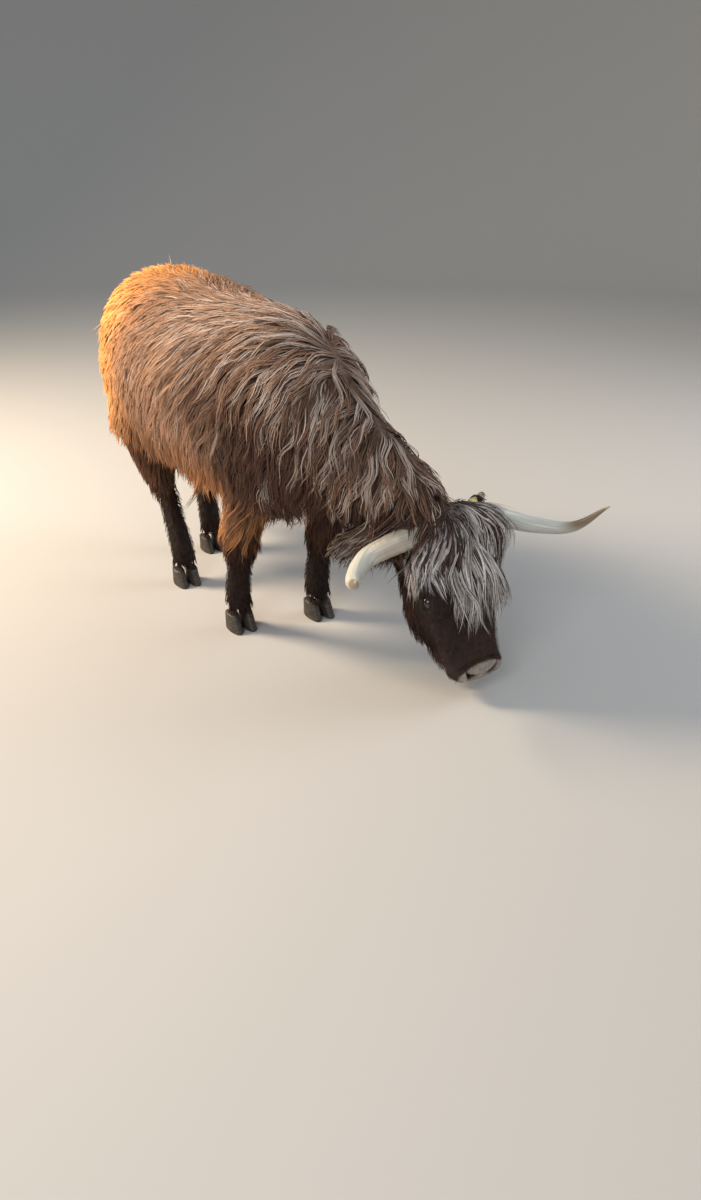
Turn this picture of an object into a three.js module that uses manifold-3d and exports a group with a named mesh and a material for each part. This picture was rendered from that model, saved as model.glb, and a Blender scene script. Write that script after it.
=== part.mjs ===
// A highland cow that grazes, life-size, in millimetres. +Z is up, the cow faces -Y and its left side is +X.
// The solids reach out to the tips of the long coat. Each named part of the body is its own closed solid, and a gap
// of GAP parts it from its neighbours. The origin is on the floor, under the middle of the whole animal.
import * as THREE from "three";
import { mergeVertices } from "three/addons/utils/BufferGeometryUtils.js";
import Module from "manifold-3d";

const wasm = await Module();
wasm.setup();

// Driving dimensions, in millimetres and degrees
const GAP = 0.3; // space between neighbouring solids
const HEAD_LENGTH = 500; // poll to the tip of the muzzle
const POLL = { forward: 1589, left: 281, up: 538 }; // where the top of the head is, in the frame of "place"
const HEAD_PITCH = 68; // how far the face points below level
const HEAD_TILT = -7; // how far the head leans to its right
const HEAD_TURN = 9; // how far the head turns to the cow's left
const HORN_RADIUS = 36; // of a horn where it leaves the hair
const EYE = { radius: 20, opening: 12 }; // opening: how far the forelock keeps off the ball
const HOOF = { length: 112, halfWidth: 23, height: 62, spread: 27 }; // spread: a claw's middle from the foot's
const TAG = { length: 70, width: 36, thickness: 3, corner: 9 };
const TAG_BUTTON = { radius: 12, height: 3, studRadius: 3, studLength: 24 };

const radians = THREE.MathUtils.degToRad;

// A point of the body: forward of the tail head, left of the middle line, and up from the floor
const place = (forward, left, up) => new THREE.Vector3(left, -forward, up);
const LEFT = new THREE.Vector3(1, 0, 0);
const FORWARD = new THREE.Vector3(0, -1, 0);

// ---------------------------------------------------------------- making solids
// A closed geometry as a solid that can be joined and cut
function solidOf(geometry) {
  const bare = geometry.clone();
  bare.deleteAttribute("normal");
  bare.deleteAttribute("uv");
  const merged = mergeVertices(bare, 1e-4);
  const vertProperties = merged.attributes.position.array;
  const triVerts = new Uint32Array(merged.index.array);
  return new wasm.Manifold(new wasm.Mesh({ numProp: 3, vertProperties, triVerts }));
}

// A solid as a named mesh of a group. A cut can leave crumbs, so only the largest piece is kept.
function addMesh(group, name, solid, material) {
  const whole = solid.decompose().reduce((a, b) => (a.volume() > b.volume() ? a : b));
  const { vertProperties, triVerts } = whole.getMesh();
  const shared = new THREE.BufferGeometry();
  shared.setAttribute("position", new THREE.BufferAttribute(vertProperties, 3));
  shared.setIndex(new THREE.BufferAttribute(triVerts, 1));
  const geometry = shared.toNonIndexed();
  geometry.computeVertexNormals();
  const mesh = new THREE.Mesh(geometry, material);
  mesh.name = name;
  group.add(mesh);
}

// A rounded tube along stations. A station is a point "at" of the middle line with the section there: "half" to each
// side, measured along "across", and how far the section reaches "above" and "below" the line. On a line that runs
// forward with across to the left, above is up; on one that runs down, above is forward. "ends" are the lengths of
// the two rounded ends, "power" is 2 for an ellipse and more for a squarer section, and "grow" enlarges it all round.
const END_RINGS = 3;
function tube(stations, { across = LEFT, sides = 20, steps = 2, ends = [20, 20], power = 2, grow = 0 }) {
  const line = new THREE.CatmullRomCurve3(stations.map((s) => s.at));
  const sizes = stations.map((s) => new THREE.Vector3(s.half, s.above, s.below));
  const size = new THREE.CatmullRomCurve3(sizes);
  const count = (stations.length - 1) * steps;
  const [first, last] = ends.map((length) => length + grow);
  const rings = []; // of { t, shift, share }: place on the line, shift along it, and share of the full section
  for (let k = 1; k <= END_RINGS; k++) {
    const a = (k / (END_RINGS + 1)) * (Math.PI / 2);
    rings.push({ t: 0, shift: -first * Math.cos(a), share: Math.sin(a) });
  }
  for (let k = 0; k <= count; k++) rings.push({ t: k / count, shift: 0, share: 1 });
  for (let k = END_RINGS; k >= 1; k--) {
    const a = (k / (END_RINGS + 1)) * (Math.PI / 2);
    rings.push({ t: 1, shift: last * Math.cos(a), share: Math.sin(a) });
  }
  const vertices = [];
  const push = (p) => vertices.push(p.x, p.y, p.z);
  const onLine = (t, shift) => line.getPoint(t).addScaledVector(line.getTangent(t), shift);
  const round = (v) => Math.sign(v) * Math.abs(v) ** (2 / power);
  push(onLine(0, -first));
  for (const { t, shift, share } of rings) {
    const along = line.getTangent(t);
    const side = across.clone().addScaledVector(along, -across.dot(along)).normalize();
    const up = new THREE.Vector3().crossVectors(along, side);
    const { x: half, y: above, z: below } = size.getPoint(t);
    for (let i = 0; i < sides; i++) {
      const a = (2 * Math.PI * i) / sides;
      const reach = Math.sin(a) > 0 ? above : below;
      const p = onLine(t, shift)
        .addScaledVector(side, round(Math.cos(a)) * (half + grow) * share)
        .addScaledVector(up, round(Math.sin(a)) * (reach + grow) * share);
      push(p);
    }
  }
  push(onLine(1, last));
  return ringsGeometry(vertices, rings.length, sides);
}

// The closed surface over a first pole, rings of vertices and a last pole
function ringsGeometry(vertices, rings, sides) {
  const faces = [];
  const last = rings * sides + 1;
  for (let i = 0; i < sides; i++) {
    const j = (i + 1) % sides;
    faces.push(0, 1 + j, 1 + i);
    for (let r = 0; r + 1 < rings; r++) {
      const a = 1 + r * sides;
      const b = a + sides;
      faces.push(a + i, a + j, b + j, a + i, b + j, b + i);
    }
    faces.push(last, last - sides + i, last - sides + j);
  }
  const geometry = new THREE.BufferGeometry();
  geometry.setAttribute("position", new THREE.Float32BufferAttribute(vertices, 3));
  geometry.setIndex(faces);
  return geometry;
}

const station = (at, half, above, below = above) => ({ at, half, above, below });
const stationXYZ = (x, y, z, half, above, below) => station(new THREE.Vector3(x, y, z), half, above, below);
const toSide = (stations, way) =>
  stations.map((s) => ({ ...s, at: s.at.clone().multiply(new THREE.Vector3(way, 1, 1)) }));

// ---------------------------------------------------------------- trunk and neck
const TRUNK = [
  station(place(-85, -50, 850), 160, 175, 225), // buttocks
  station(place(-10, -50, 835), 250, 305, 320),
  station(place(130, -48, 820), 300, 360, 345), // tail head and pins
  station(place(340, -38, 800), 328, 368, 345), // hooks
  station(place(600, -15, 785), 358, 356, 370), // loin and flank
  station(place(850, 0, 780), 352, 348, 392), // ribs
  station(place(1070, 0, 785), 300, 335, 390), // withers
  station(place(1220, 10, 765), 242, 285, 350), // shoulders
  station(place(1320, 25, 735), 175, 210, 270), // brisket
];
const NECK = [
  station(place(1090, 0, 800), 230, 285, 290),
  station(place(1230, 32, 755), 198, 250, 300),
  station(place(1350, 98, 680), 162, 200, 265),
  station(place(1440, 178, 600), 134, 158, 230),
  station(place(1500, 236, 535), 114, 125, 200),
];
const trunkAndNeck = (grow) =>
  solidOf(tube(TRUNK, { sides: 20, ends: [45, 60], power: 2.25, grow })).add(
    solidOf(tube(NECK, { sides: 16, ends: [30, 30], power: 2.15, grow })),
  );

// Thin cuts part the neck from the trunk, square to the neck in front of the shoulders, and the legs from the
// muscles of shoulder and thigh, each on its own level. halfSpace is all that lies on one side of such a cut.
const NECK_CUT = { at: place(1215, 25, 765), towards: new THREE.Vector3(0.2, -0.88, -0.43).normalize() };
const levelCut = (up) => ({ at: place(0, 0, up), towards: new THREE.Vector3(0, 0, 1) });
function halfSpace({ at, towards }, way) {
  const reach = 3000;
  const box = new THREE.BoxGeometry(reach, reach, reach).translate(0, 0, way * (reach / 2 + GAP / 2));
  const turn = new THREE.Quaternion().setFromUnitVectors(new THREE.Vector3(0, 0, 1), towards);
  return solidOf(box.applyQuaternion(turn).translate(at.x, at.y, at.z));
}

// ---------------------------------------------------------------- head, in its own frame
// The poll is at the origin, the face runs along -Y to the muzzle, and its front is +Z.
const onHead = (along, left, front) => place(along * HEAD_LENGTH, left, front);
const SKULL = [
  station(onHead(-0.02, 0, -60), 102, 60, 90), // crest of the poll
  station(onHead(0.1, 0, -60), 134, 76, 134),
  station(onHead(0.3, 0, -60), 150, 76, 150), // eyes
  station(onHead(0.48, 0, -58), 146, 70, 144), // cheeks
  station(onHead(0.68, 0, -54), 130, 62, 120), // bridge of the nose
  station(onHead(0.86, 0, -54), 108, 54, 92),
  station(onHead(0.95, 0, -56), 90, 48, 68), // nose
];
const JAW = [
  station(onHead(0.2, 0, -180), 104, 40, 92),
  station(onHead(0.45, 0, -185), 104, 40, 98),
  station(onHead(0.7, 0, -158), 88, 36, 88),
  station(onHead(0.88, 0, -134), 72, 26, 62), // lower lip and chin
];
const FORELOCK = [
  station(onHead(-0.11, 0, -80), 62, 32, 60),
  station(onHead(-0.02, 0, -54), 124, 70, 80),
  station(onHead(0.16, 0, -44), 164, 86, 80),
  station(onHead(0.32, 0, -44), 162, 82, 62),
  station(onHead(0.5, 0, -46), 124, 78, 50),
];
// The right sides follow from the left ones, given here.
const HORN = [
  stationXYZ(40, -8, -40, HORN_RADIUS, HORN_RADIUS),
  stationXYZ(155, -12, -45, HORN_RADIUS, HORN_RADIUS),
  stationXYZ(257, -39, -100, HORN_RADIUS * 0.86, HORN_RADIUS * 0.86),
];
// The right horn is the shorter one and dips less, so each has an outer stretch of its own.
const HORN_ENDS = new Map([
  [
    1,
    [
      stationXYZ(349, -90, -51, HORN_RADIUS * 0.72, HORN_RADIUS * 0.72),
      stationXYZ(414, -118, 54, HORN_RADIUS * 0.48, HORN_RADIUS * 0.48),
      stationXYZ(468, -76, 167, HORN_RADIUS * 0.1, HORN_RADIUS * 0.1),
    ],
  ],
  [
    -1,
    [
      stationXYZ(345, -78, -51, HORN_RADIUS * 0.7, HORN_RADIUS * 0.7),
      stationXYZ(401, -84, 44, HORN_RADIUS * 0.45, HORN_RADIUS * 0.45),
      stationXYZ(438, -66, 124, HORN_RADIUS * 0.12, HORN_RADIUS * 0.12),
    ],
  ],
]);
const EAR = [
  stationXYZ(95, -30, -108, 26, 24),
  stationXYZ(165, -10, -148, 52, 18),
  stationXYZ(228, -2, -190, 68, 16),
  stationXYZ(276, 2, -222, 48, 14),
];
const EYE_AT = onHead(0.43, 128, -30);
const NOSTRIL = { at: onHead(0.94, 44, -18), size: new THREE.Vector3(15, 22, 12), tilt: 40 };

// The tag is a plate with round corners that lies on the front face of the left ear, held by a button with a stud
// that goes into the ear. It is made flat, with its face to +Z, and then laid on the ear.
const TAG_PLACE = { at: new THREE.Vector3(207, 24, -156), turn: 32 };
function tagSolid(grow) {
  const [x, y] = [TAG.length / 2 + grow, TAG.width / 2 + grow];
  const r = TAG.corner;
  const outline = new THREE.Shape();
  outline.absarc(x - r, y - r, r, 0, Math.PI / 2);
  outline.absarc(r - x, y - r, r, Math.PI / 2, Math.PI);
  outline.absarc(r - x, r - y, r, Math.PI, 1.5 * Math.PI);
  outline.absarc(x - r, r - y, r, 1.5 * Math.PI, 2 * Math.PI);
  const depth = TAG.thickness + 2 * grow;
  const plate = new THREE.ExtrudeGeometry(outline, { depth, bevelEnabled: false, curveSegments: 3 });
  const peg = (radius, length, sides) =>
    new THREE.CylinderGeometry(radius + grow, radius + grow, length + grow, sides).rotateX(Math.PI / 2);
  const { radius, height, studRadius, studLength } = TAG_BUTTON;
  const laid = (geometry) => {
    geometry.rotateY(radians(TAG_PLACE.turn));
    return solidOf(geometry.translate(TAG_PLACE.at.x, TAG_PLACE.at.y, TAG_PLACE.at.z));
  };
  return laid(plate.translate(0, 0, -grow))
    .add(laid(peg(radius, height, 10).translate(0, 0, TAG.thickness + height / 3)))
    .add(laid(peg(studRadius, studLength, 6).translate(0, 0, TAG.thickness - studLength / 2)));
}

const skullTube = (grow) => tube(SKULL, { sides: 16, ends: [30, 24], power: 2.3, grow });
const jawTube = (grow) => tube(JAW, { sides: 12, ends: [34, 20], grow });
const forelockTube = (grow) => tube(FORELOCK, { sides: 14, ends: [20, 40], power: 2.2, grow });
const hornTube = (way, grow) =>
  tube(toSide([...HORN, ...HORN_ENDS.get(way)], way), { across: FORWARD, sides: 8, steps: 3, ends: [10, 6], grow });
const earTube = (way, grow) =>
  tube(toSide(EAR, way), { across: FORWARD, sides: 10, steps: 2, ends: [15, 36], grow });
const eyeBall = (way, grow) =>
  new THREE.SphereGeometry(EYE.radius + grow, 10, 7).translate(way * EYE_AT.x, EYE_AT.y, EYE_AT.z);
const nostrilPocket = (way) =>
  new THREE.SphereGeometry(1, 8, 6)
    .scale(NOSTRIL.size.x, NOSTRIL.size.y, NOSTRIL.size.z)
    .rotateZ(way * radians(NOSTRIL.tilt))
    .translate(way * NOSTRIL.at.x, NOSTRIL.at.y, NOSTRIL.at.z);

const head = new THREE.Group();
head.position.copy(place(POLL.forward, POLL.left, POLL.up));
head.rotation.set(radians(HEAD_PITCH), radians(HEAD_TILT), radians(HEAD_TURN), "ZXY");
head.updateMatrix();

// ---------------------------------------------------------------- legs
// A leg is a chain of joints from inside the trunk down to the pastern: how high each is, how far ahead of the foot,
// how far from the middle line, and the section there.
const FORELEG = [
  { up: 760, ahead: 50, side: 150, half: 80, front: 90, back: 110 }, // shoulder
  { up: 600, ahead: 55, side: 154, half: 88, front: 92, back: 140 }, // elbow
  { up: 470, ahead: 40, side: 150, half: 84, front: 82, back: 134 }, // forearm
  { up: 345, ahead: 15, side: 145, half: 72, front: 70, back: 82 }, // knee
  { up: 240, ahead: 0, side: 143, half: 50, front: 48, back: 54 }, // cannon
  { up: 140, ahead: -12, side: 142, half: 54, front: 52, back: 60 }, // fetlock
  { up: 88, ahead: 5, side: 142, half: 54, front: 52, back: 54 }, // pastern
];
const HINDLEG = [
  { up: 800, ahead: -135, side: 165, half: 112, front: 190, back: 225 }, // thigh
  { up: 640, ahead: -110, side: 172, half: 148, front: 170, back: 262 }, // stifle
  { up: 540, ahead: -135, side: 168, half: 122, front: 125, back: 220 }, // second thigh
  { up: 455, ahead: -148, side: 156, half: 84, front: 76, back: 172 }, // hock
  { up: 385, ahead: -118, side: 150, half: 58, front: 60, back: 100 },
  { up: 300, ahead: -75, side: 146, half: 46, front: 46, back: 56 }, // cannon
  { up: 150, ahead: -12, side: 144, half: 54, front: 52, back: 60 }, // fetlock
  { up: 90, ahead: 5, side: 144, half: 54, front: 52, back: 54 }, // pastern
];
// Where each foot stands: forward of the tail head, and how much further out than the joints' own side. "lean" is
// how far forward of that the leg is for each LEAN_HEIGHT of height, and "cut" is the level it is parted at.
const LEGS = [
  { name: "fore_right", joints: FORELEG, way: -1, forward: 935, out: 12, lean: 90, cut: 450 },
  { name: "fore_left", joints: FORELEG, way: 1, forward: 985, out: -5, lean: 60, cut: 450 },
  { name: "hind_right", joints: HINDLEG, way: -1, forward: 475, out: 40, lean: -110, cut: 575 },
  { name: "hind_left", joints: HINDLEG, way: 1, forward: 200, out: -105, lean: 60, cut: 575 },
];
const PASTERN_UP = 88;
const LEAN_HEIGHT = 600;
const legTube = ({ joints, way, forward, out, lean }, grow) => {
  const stations = joints.map((j) => {
    const leaning = (lean * Math.max(0, j.up - PASTERN_UP)) / LEAN_HEIGHT;
    const at = place(forward + j.ahead + leaning, way * (j.side + out), j.up);
    return station(at, j.half, j.front, j.back);
  });
  return tube(stations, { sides: 12, ends: [20, 25], power: 2.1, grow });
};

// A claw stands on its flat sole. Its toe is forward, its inner wall is nearly straight and faces -X, and the wall
// leans back and narrows as it rises.
function claw(grow) {
  const rows = 3;
  const sides = 12;
  const toe = 0.58; // share of the length that is ahead of the middle
  const inner = 0.8; // the inner wall's distance from the middle, as a share of the outer wall's
  const lean = 16; // how far back the top is set
  const narrowing = { length: 0.3, width: 0.08 };
  const vertices = [0, 0, -grow];
  for (let r = 0; r <= rows; r++) {
    const rise = r / rows;
    const up = rise * HOOF.height + (r === rows ? grow : 0) - (r === 0 ? grow : 0);
    for (let i = 0; i < sides; i++) {
      const a = (2 * Math.PI * i) / sides;
      const wide = HOOF.halfWidth * (Math.cos(a) > 0 ? 1 : inner) * (1 - narrowing.width * rise);
      const share = Math.sin(a) > 0 ? 1 - toe : toe;
      const long = share * HOOF.length * (1 - narrowing.length * rise);
      vertices.push(Math.cos(a) * (wide + grow), Math.sin(a) * (long + grow) + lean * rise, up);
    }
  }
  vertices.push(0, lean, HOOF.height + grow);
  return ringsGeometry(vertices, rows + 1, sides);
}

// ---------------------------------------------------------------- tail and udder
const TAIL = [
  station(place(70, -50, 1130), 46, 36, 36),
  station(place(-44, -50, 1088), 46, 38, 38),
  station(place(-110, -50, 1000), 42, 36, 36),
  station(place(-150, -50, 880), 40, 35, 35),
  station(place(-168, -50, 720), 48, 42, 42),
];
const SWITCH = [
  station(place(-172, -50, 725), 44, 38, 38),
  station(place(-168, -50, 580), 72, 60, 60),
  station(place(-162, -50, 440), 64, 54, 54),
  station(place(-160, -50, 350), 30, 26, 26),
];
const tailTube = (grow) => tube(TAIL, { sides: 8, ends: [20, 10], grow });
const switchTube = (grow) => tube(SWITCH, { sides: 8, ends: [2, 40], grow });

const UDDER = { at: place(330, -42, 470), size: new THREE.Vector3(105, 135, 85) };
const TEAT = { radius: 11, length: 45, aside: 48, ahead: 48 };
function udderSolid() {
  const bag = new THREE.SphereGeometry(1, 12, 8).scale(UDDER.size.x, UDDER.size.y, UDDER.size.z);
  let solid = solidOf(bag.translate(UDDER.at.x, UDDER.at.y, UDDER.at.z));
  for (const way of [-1, 1]) {
    for (const end of [-1, 1]) {
      const teat = new THREE.CapsuleGeometry(TEAT.radius, TEAT.length, 2, 6).rotateX(Math.PI / 2);
      const x = UDDER.at.x + way * TEAT.aside;
      const y = UDDER.at.y + end * TEAT.ahead;
      const z = UDDER.at.z - UDDER.size.z * 0.85;
      solid = solid.add(solidOf(teat.translate(x, y, z)));
    }
  }
  return solid;
}

// ---------------------------------------------------------------- materials
const look = (color, roughness) => new THREE.MeshStandardMaterial({ color, roughness, metalness: 0 });
const COAT = look(0x8a5634, 0.9);
const DARK_COAT = look(0x4a2f24, 0.9);
const BLOND_COAT = look(0xa8937c, 0.9);
const HORN_LOOK = look(0xd8d2c2, 0.45);
const HOOF_LOOK = look(0x2a221d, 0.6);
const EYE_LOOK = look(0x120c09, 0.1);
const UDDER_LOOK = look(0x8d6658, 0.7);
const TAG_LOOK = look(0xe2d878, 0.5);

// ---------------------------------------------------------------- the cow
const cow = new THREE.Group();

// Head: the skull comes first, and each later piece is cut by the ones before it.
const skullSpace = solidOf(skullTube(GAP));
let skull = solidOf(skullTube(0));
let forelock = solidOf(forelockTube(0)).subtract(skullSpace);
const headSpaces = [skullTube(GAP), jawTube(GAP), forelockTube(GAP)];
for (const [side, way] of [["left", 1], ["right", -1]]) {
  const hornSpace = solidOf(hornTube(way, GAP));
  let ear = solidOf(earTube(way, 0)).subtract(skullSpace).subtract(hornSpace);
  if (side === "left") ear = ear.subtract(tagSolid(GAP));
  addMesh(head, "horn_" + side, solidOf(hornTube(way, 0)).subtract(skullSpace), HORN_LOOK);
  addMesh(head, "ear_" + side, ear, DARK_COAT);
  addMesh(head, "eye_" + side, solidOf(eyeBall(way, 0)), EYE_LOOK);
  skull = skull.subtract(solidOf(eyeBall(way, GAP))).subtract(solidOf(nostrilPocket(way)));
  forelock = forelock
    .subtract(hornSpace)
    .subtract(solidOf(earTube(way, GAP)))
    .subtract(solidOf(eyeBall(way, EYE.opening)));
  headSpaces.push(hornTube(way, GAP), earTube(way, GAP));
}
addMesh(head, "head", skull, DARK_COAT);
addMesh(head, "jaw", solidOf(jawTube(0)).subtract(skullSpace), DARK_COAT);
addMesh(head, "forelock", forelock.subtract(tagSolid(GAP)), BLOND_COAT);
addMesh(head, "ear_tag", tagSolid(0), TAG_LOOK);

cow.add(head);

// Trunk and neck, with the muscles above the legs
let body = trunkAndNeck(0);
for (const leg of LEGS) body = body.add(solidOf(legTube(leg, 0)).intersect(halfSpace(levelCut(leg.cut), 1)));
for (const space of headSpaces) body = body.subtract(solidOf(space.applyMatrix4(head.matrix)));
addMesh(cow, "trunk", body.intersect(halfSpace(NECK_CUT, -1)), COAT);
addMesh(cow, "neck", body.intersect(halfSpace(NECK_CUT, 1)), DARK_COAT);

// Legs, each with its two claws
const trunkSpace = trunkAndNeck(GAP);
let rearSpace = trunkSpace;
for (const leg of LEGS) {
  let lower = solidOf(legTube(leg, 0)).intersect(halfSpace(levelCut(leg.cut), -1)).subtract(trunkSpace);
  const middle = leg.way * (leg.joints.at(-1).side + leg.out);
  for (const toe of [1, -1]) {
    const shape = (grow) => {
      const geometry = claw(grow);
      const solid = solidOf(geometry);
      return (toe > 0 ? solid : solid.mirror([1, 0, 0])).translate(
        middle + toe * HOOF.spread,
        -leg.forward,
        0,
      );
    };
    const clawName = toe === leg.way ? "outer" : "inner";
    addMesh(cow, `hoof_${leg.name}_${clawName}`, shape(0), HOOF_LOOK);
    lower = lower.subtract(shape(GAP));
  }
  addMesh(cow, "leg_" + leg.name, lower, DARK_COAT);
  rearSpace = rearSpace.add(solidOf(legTube(leg, GAP)));
}

const tailSpace = solidOf(tailTube(GAP));
addMesh(cow, "tail", solidOf(tailTube(0)).subtract(rearSpace), COAT);
addMesh(cow, "tail_switch", solidOf(switchTube(0)).subtract(rearSpace).subtract(tailSpace), COAT);
addMesh(cow, "udder", udderSolid().subtract(rearSpace), UDDER_LOOK);

// The origin goes to the floor under the middle of the animal.
const box = new THREE.Box3().setFromObject(cow, true);
const middle = box.getCenter(new THREE.Vector3());
cow.position.set(-middle.x, -middle.y, 0);

export default cow;
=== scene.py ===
import math

import bpy
import numpy as np
from mathutils import Matrix, Vector
from mathutils.bvhtree import BVHTree


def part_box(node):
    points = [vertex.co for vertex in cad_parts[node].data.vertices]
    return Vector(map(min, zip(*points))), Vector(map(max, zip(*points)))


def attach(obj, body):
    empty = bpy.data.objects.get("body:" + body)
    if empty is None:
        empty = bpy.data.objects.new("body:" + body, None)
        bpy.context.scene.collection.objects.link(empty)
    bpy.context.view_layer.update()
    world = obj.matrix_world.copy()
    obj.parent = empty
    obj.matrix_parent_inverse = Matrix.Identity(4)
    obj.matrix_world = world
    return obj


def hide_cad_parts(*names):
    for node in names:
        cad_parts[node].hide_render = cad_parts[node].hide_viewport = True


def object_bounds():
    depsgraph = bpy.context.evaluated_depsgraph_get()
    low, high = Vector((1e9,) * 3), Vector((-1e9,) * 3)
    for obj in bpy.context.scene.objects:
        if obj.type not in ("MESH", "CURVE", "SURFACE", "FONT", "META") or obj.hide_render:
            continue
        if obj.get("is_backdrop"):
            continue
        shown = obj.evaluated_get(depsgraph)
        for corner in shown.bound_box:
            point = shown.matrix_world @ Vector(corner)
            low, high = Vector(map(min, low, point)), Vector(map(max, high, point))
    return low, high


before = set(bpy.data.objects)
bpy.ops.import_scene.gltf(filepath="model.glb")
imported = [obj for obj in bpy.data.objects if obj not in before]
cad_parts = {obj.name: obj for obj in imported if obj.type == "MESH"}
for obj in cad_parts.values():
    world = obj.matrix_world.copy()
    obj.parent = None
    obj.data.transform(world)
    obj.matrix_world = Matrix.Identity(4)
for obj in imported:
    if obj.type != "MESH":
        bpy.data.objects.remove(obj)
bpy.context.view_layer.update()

# ---------------------------------------------------------------- the head's place, the camera, floor and light
# The cow stands square on the floor and grazes with its head turned to its left. Its head has a frame of its own:
# the poll is the origin, the face runs along -Y to the muzzle, and the front of the face is +Z.
HEAD_LENGTH = 0.5
POLL_FORWARD, POLL_LEFT, POLL_UP = 1.589, 0.281, 0.538  # from the tail head's place on the floor
HEAD_PITCH, HEAD_TILT, HEAD_TURN = (math.radians(a) for a in (68, -7, 9))
EYE_ALONG, EYE_LEFT, EYE_FRONT, EYE_RADIUS = 0.43, 0.128, -0.030, 0.020

HEAD_TURNED = (
    Matrix.Rotation(HEAD_TURN, 3, "Z") @ Matrix.Rotation(HEAD_PITCH, 3, "X") @ Matrix.Rotation(HEAD_TILT, 3, "Y")
)
eye_low, eye_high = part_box("eye_left")
eye_centre = (Vector(eye_low) + Vector(eye_high)) / 2
POLL = np.array(eye_centre - HEAD_TURNED @ Vector((EYE_LEFT, -EYE_ALONG * HEAD_LENGTH, EYE_FRONT)))
TAIL_HEAD = POLL - np.array((POLL_LEFT, -POLL_FORWARD, POLL_UP))  # on the floor under the tail head's joint
HEAD_AXES = np.array(HEAD_TURNED)


def from_head(points):
    """Points of the head's frame in the row's frame: turned, then moved to the poll."""
    return np.asarray(points) @ HEAD_AXES.T + POLL


def to_head(points):
    """Points of the row's frame in the head's frame."""
    return (np.asarray(points) - POLL) @ HEAD_AXES


CAMERA_PLACE = Vector((-1.29, -3.695, 1.55))  # from the tail head's place on the floor
CAMERA_WAY, CAMERA_DIP = Vector((0.5, 0.866, 0)).normalized(), math.radians(26)
LENS = 27.7  # mm
camera_data = bpy.data.cameras.new("camera")
camera_data.lens = LENS
camera_data.clip_end = 200
camera = bpy.data.objects.new("camera", camera_data)
bpy.context.scene.collection.objects.link(camera)
bpy.context.scene.camera = camera
camera.location = Vector(TAIL_HEAD) + CAMERA_PLACE
LOOK = CAMERA_WAY * math.cos(CAMERA_DIP) - Vector((0, 0, math.sin(CAMERA_DIP)))
camera.rotation_euler = LOOK.to_track_quat("-Z", "Y").to_euler()


def principled(name, inputs):
    """A new material with values set on its principled shader, and that shader."""
    material = bpy.data.materials.new(name)
    material.use_nodes = True
    shader = material.node_tree.nodes["Principled BSDF"]
    for socket, value in inputs.items():
        shader.inputs[socket].default_value = value
    return material, shader


FLOOR_REACH, WALL_CURVE, WALL_HEIGHT, BOWL_SIDES = 9.0, 5.0, 9.0, 96


def between_rings(low, high, sides):
    """Four-sided faces between rings of vertices: low and high give the first vertex of each pair of rings."""
    i = np.arange(sides)
    j = (i + 1) % sides
    low, high = low[:, None], high[:, None]
    return np.stack([low + i, low + j, high + j, high + i], -1).reshape(-1, 4)


def studio_bowl():
    """A level round floor that curves up into a wall all round: a profile of (radius, height) spun about the
    vertical, with a quarter circle between floor and wall."""
    curve = np.linspace(0, math.pi / 2, 24)
    radius = np.concatenate([[0.001], FLOOR_REACH + WALL_CURVE * np.sin(curve), [FLOOR_REACH + WALL_CURVE]])
    height = np.concatenate([[0], WALL_CURVE * (1 - np.cos(curve)), [WALL_HEIGHT]])
    turn = np.linspace(0, 2 * math.pi, BOWL_SIDES, endpoint=False)
    radius, height = radius[:, None], height[:, None]
    rings = np.stack([radius * np.cos(turn), radius * np.sin(turn), height + 0 * turn], -1)
    starts = np.arange(len(radius)) * BOWL_SIDES
    return rings.reshape(-1, 3), between_rings(starts[:-1], starts[1:], BOWL_SIDES)[:, ::-1]


bowl_vertices, bowl_faces = studio_bowl()
floor_mesh = bpy.data.meshes.new("studio_floor")
floor_mesh.from_pydata(bowl_vertices.tolist(), [], bowl_faces.tolist())
floor_mesh.shade_smooth()
floor_look, _ = principled("floor_paint", {"Base Color": (0.50, 0.495, 0.485, 1), "Roughness": 0.85})
floor_mesh.materials.append(floor_look)
floor = bpy.data.objects.new("studio_floor", floor_mesh)
bpy.context.scene.collection.objects.link(floor)
floor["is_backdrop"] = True

world = bpy.data.worlds.new("studio_air")
world.use_nodes = True
world.node_tree.nodes["Background"].inputs["Color"].default_value = (0.90, 0.95, 1.0, 1)
world.node_tree.nodes["Background"].inputs["Strength"].default_value = 0.46
bpy.context.scene.world = world
bpy.context.scene.view_settings.view_transform = "Standard"  # colours as they are, with no film curve

COW_MIDDLE = Vector((0, 0, 0.7))


def soft_light(name, place, size, power, colour):
    """A square area light that points at the middle of the cow."""
    data = bpy.data.lights.new(name, "AREA")
    data.size = size
    data.energy = power
    data.color = colour
    lamp = bpy.data.objects.new(name, data)
    bpy.context.scene.collection.objects.link(lamp)
    lamp.location = place
    lamp.rotation_euler = (COW_MIDDLE - Vector(place)).to_track_quat("-Z", "Y").to_euler()


soft_light("key_light", place=(-3.5, 3.0, 3.5), size=1.6, power=520, colour=(1.0, 0.80, 0.58))
soft_light("front_light", place=(-4.2, -3.6, 3.6), size=2.6, power=120, colour=(0.97, 0.98, 1.0))
soft_light("side_light", place=(4.0, -1.0, 3.2), size=2.4, power=75, colour=(0.95, 0.97, 1.0))

# ---------------------------------------------------------------- the flesh under the coat
# Trunk, neck, legs, tail and udder are the solids drawn in by the depth of the coat that grows on them, so that the
# tips of the hair reach the solids again. The parts flow into one another under one hide.


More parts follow.
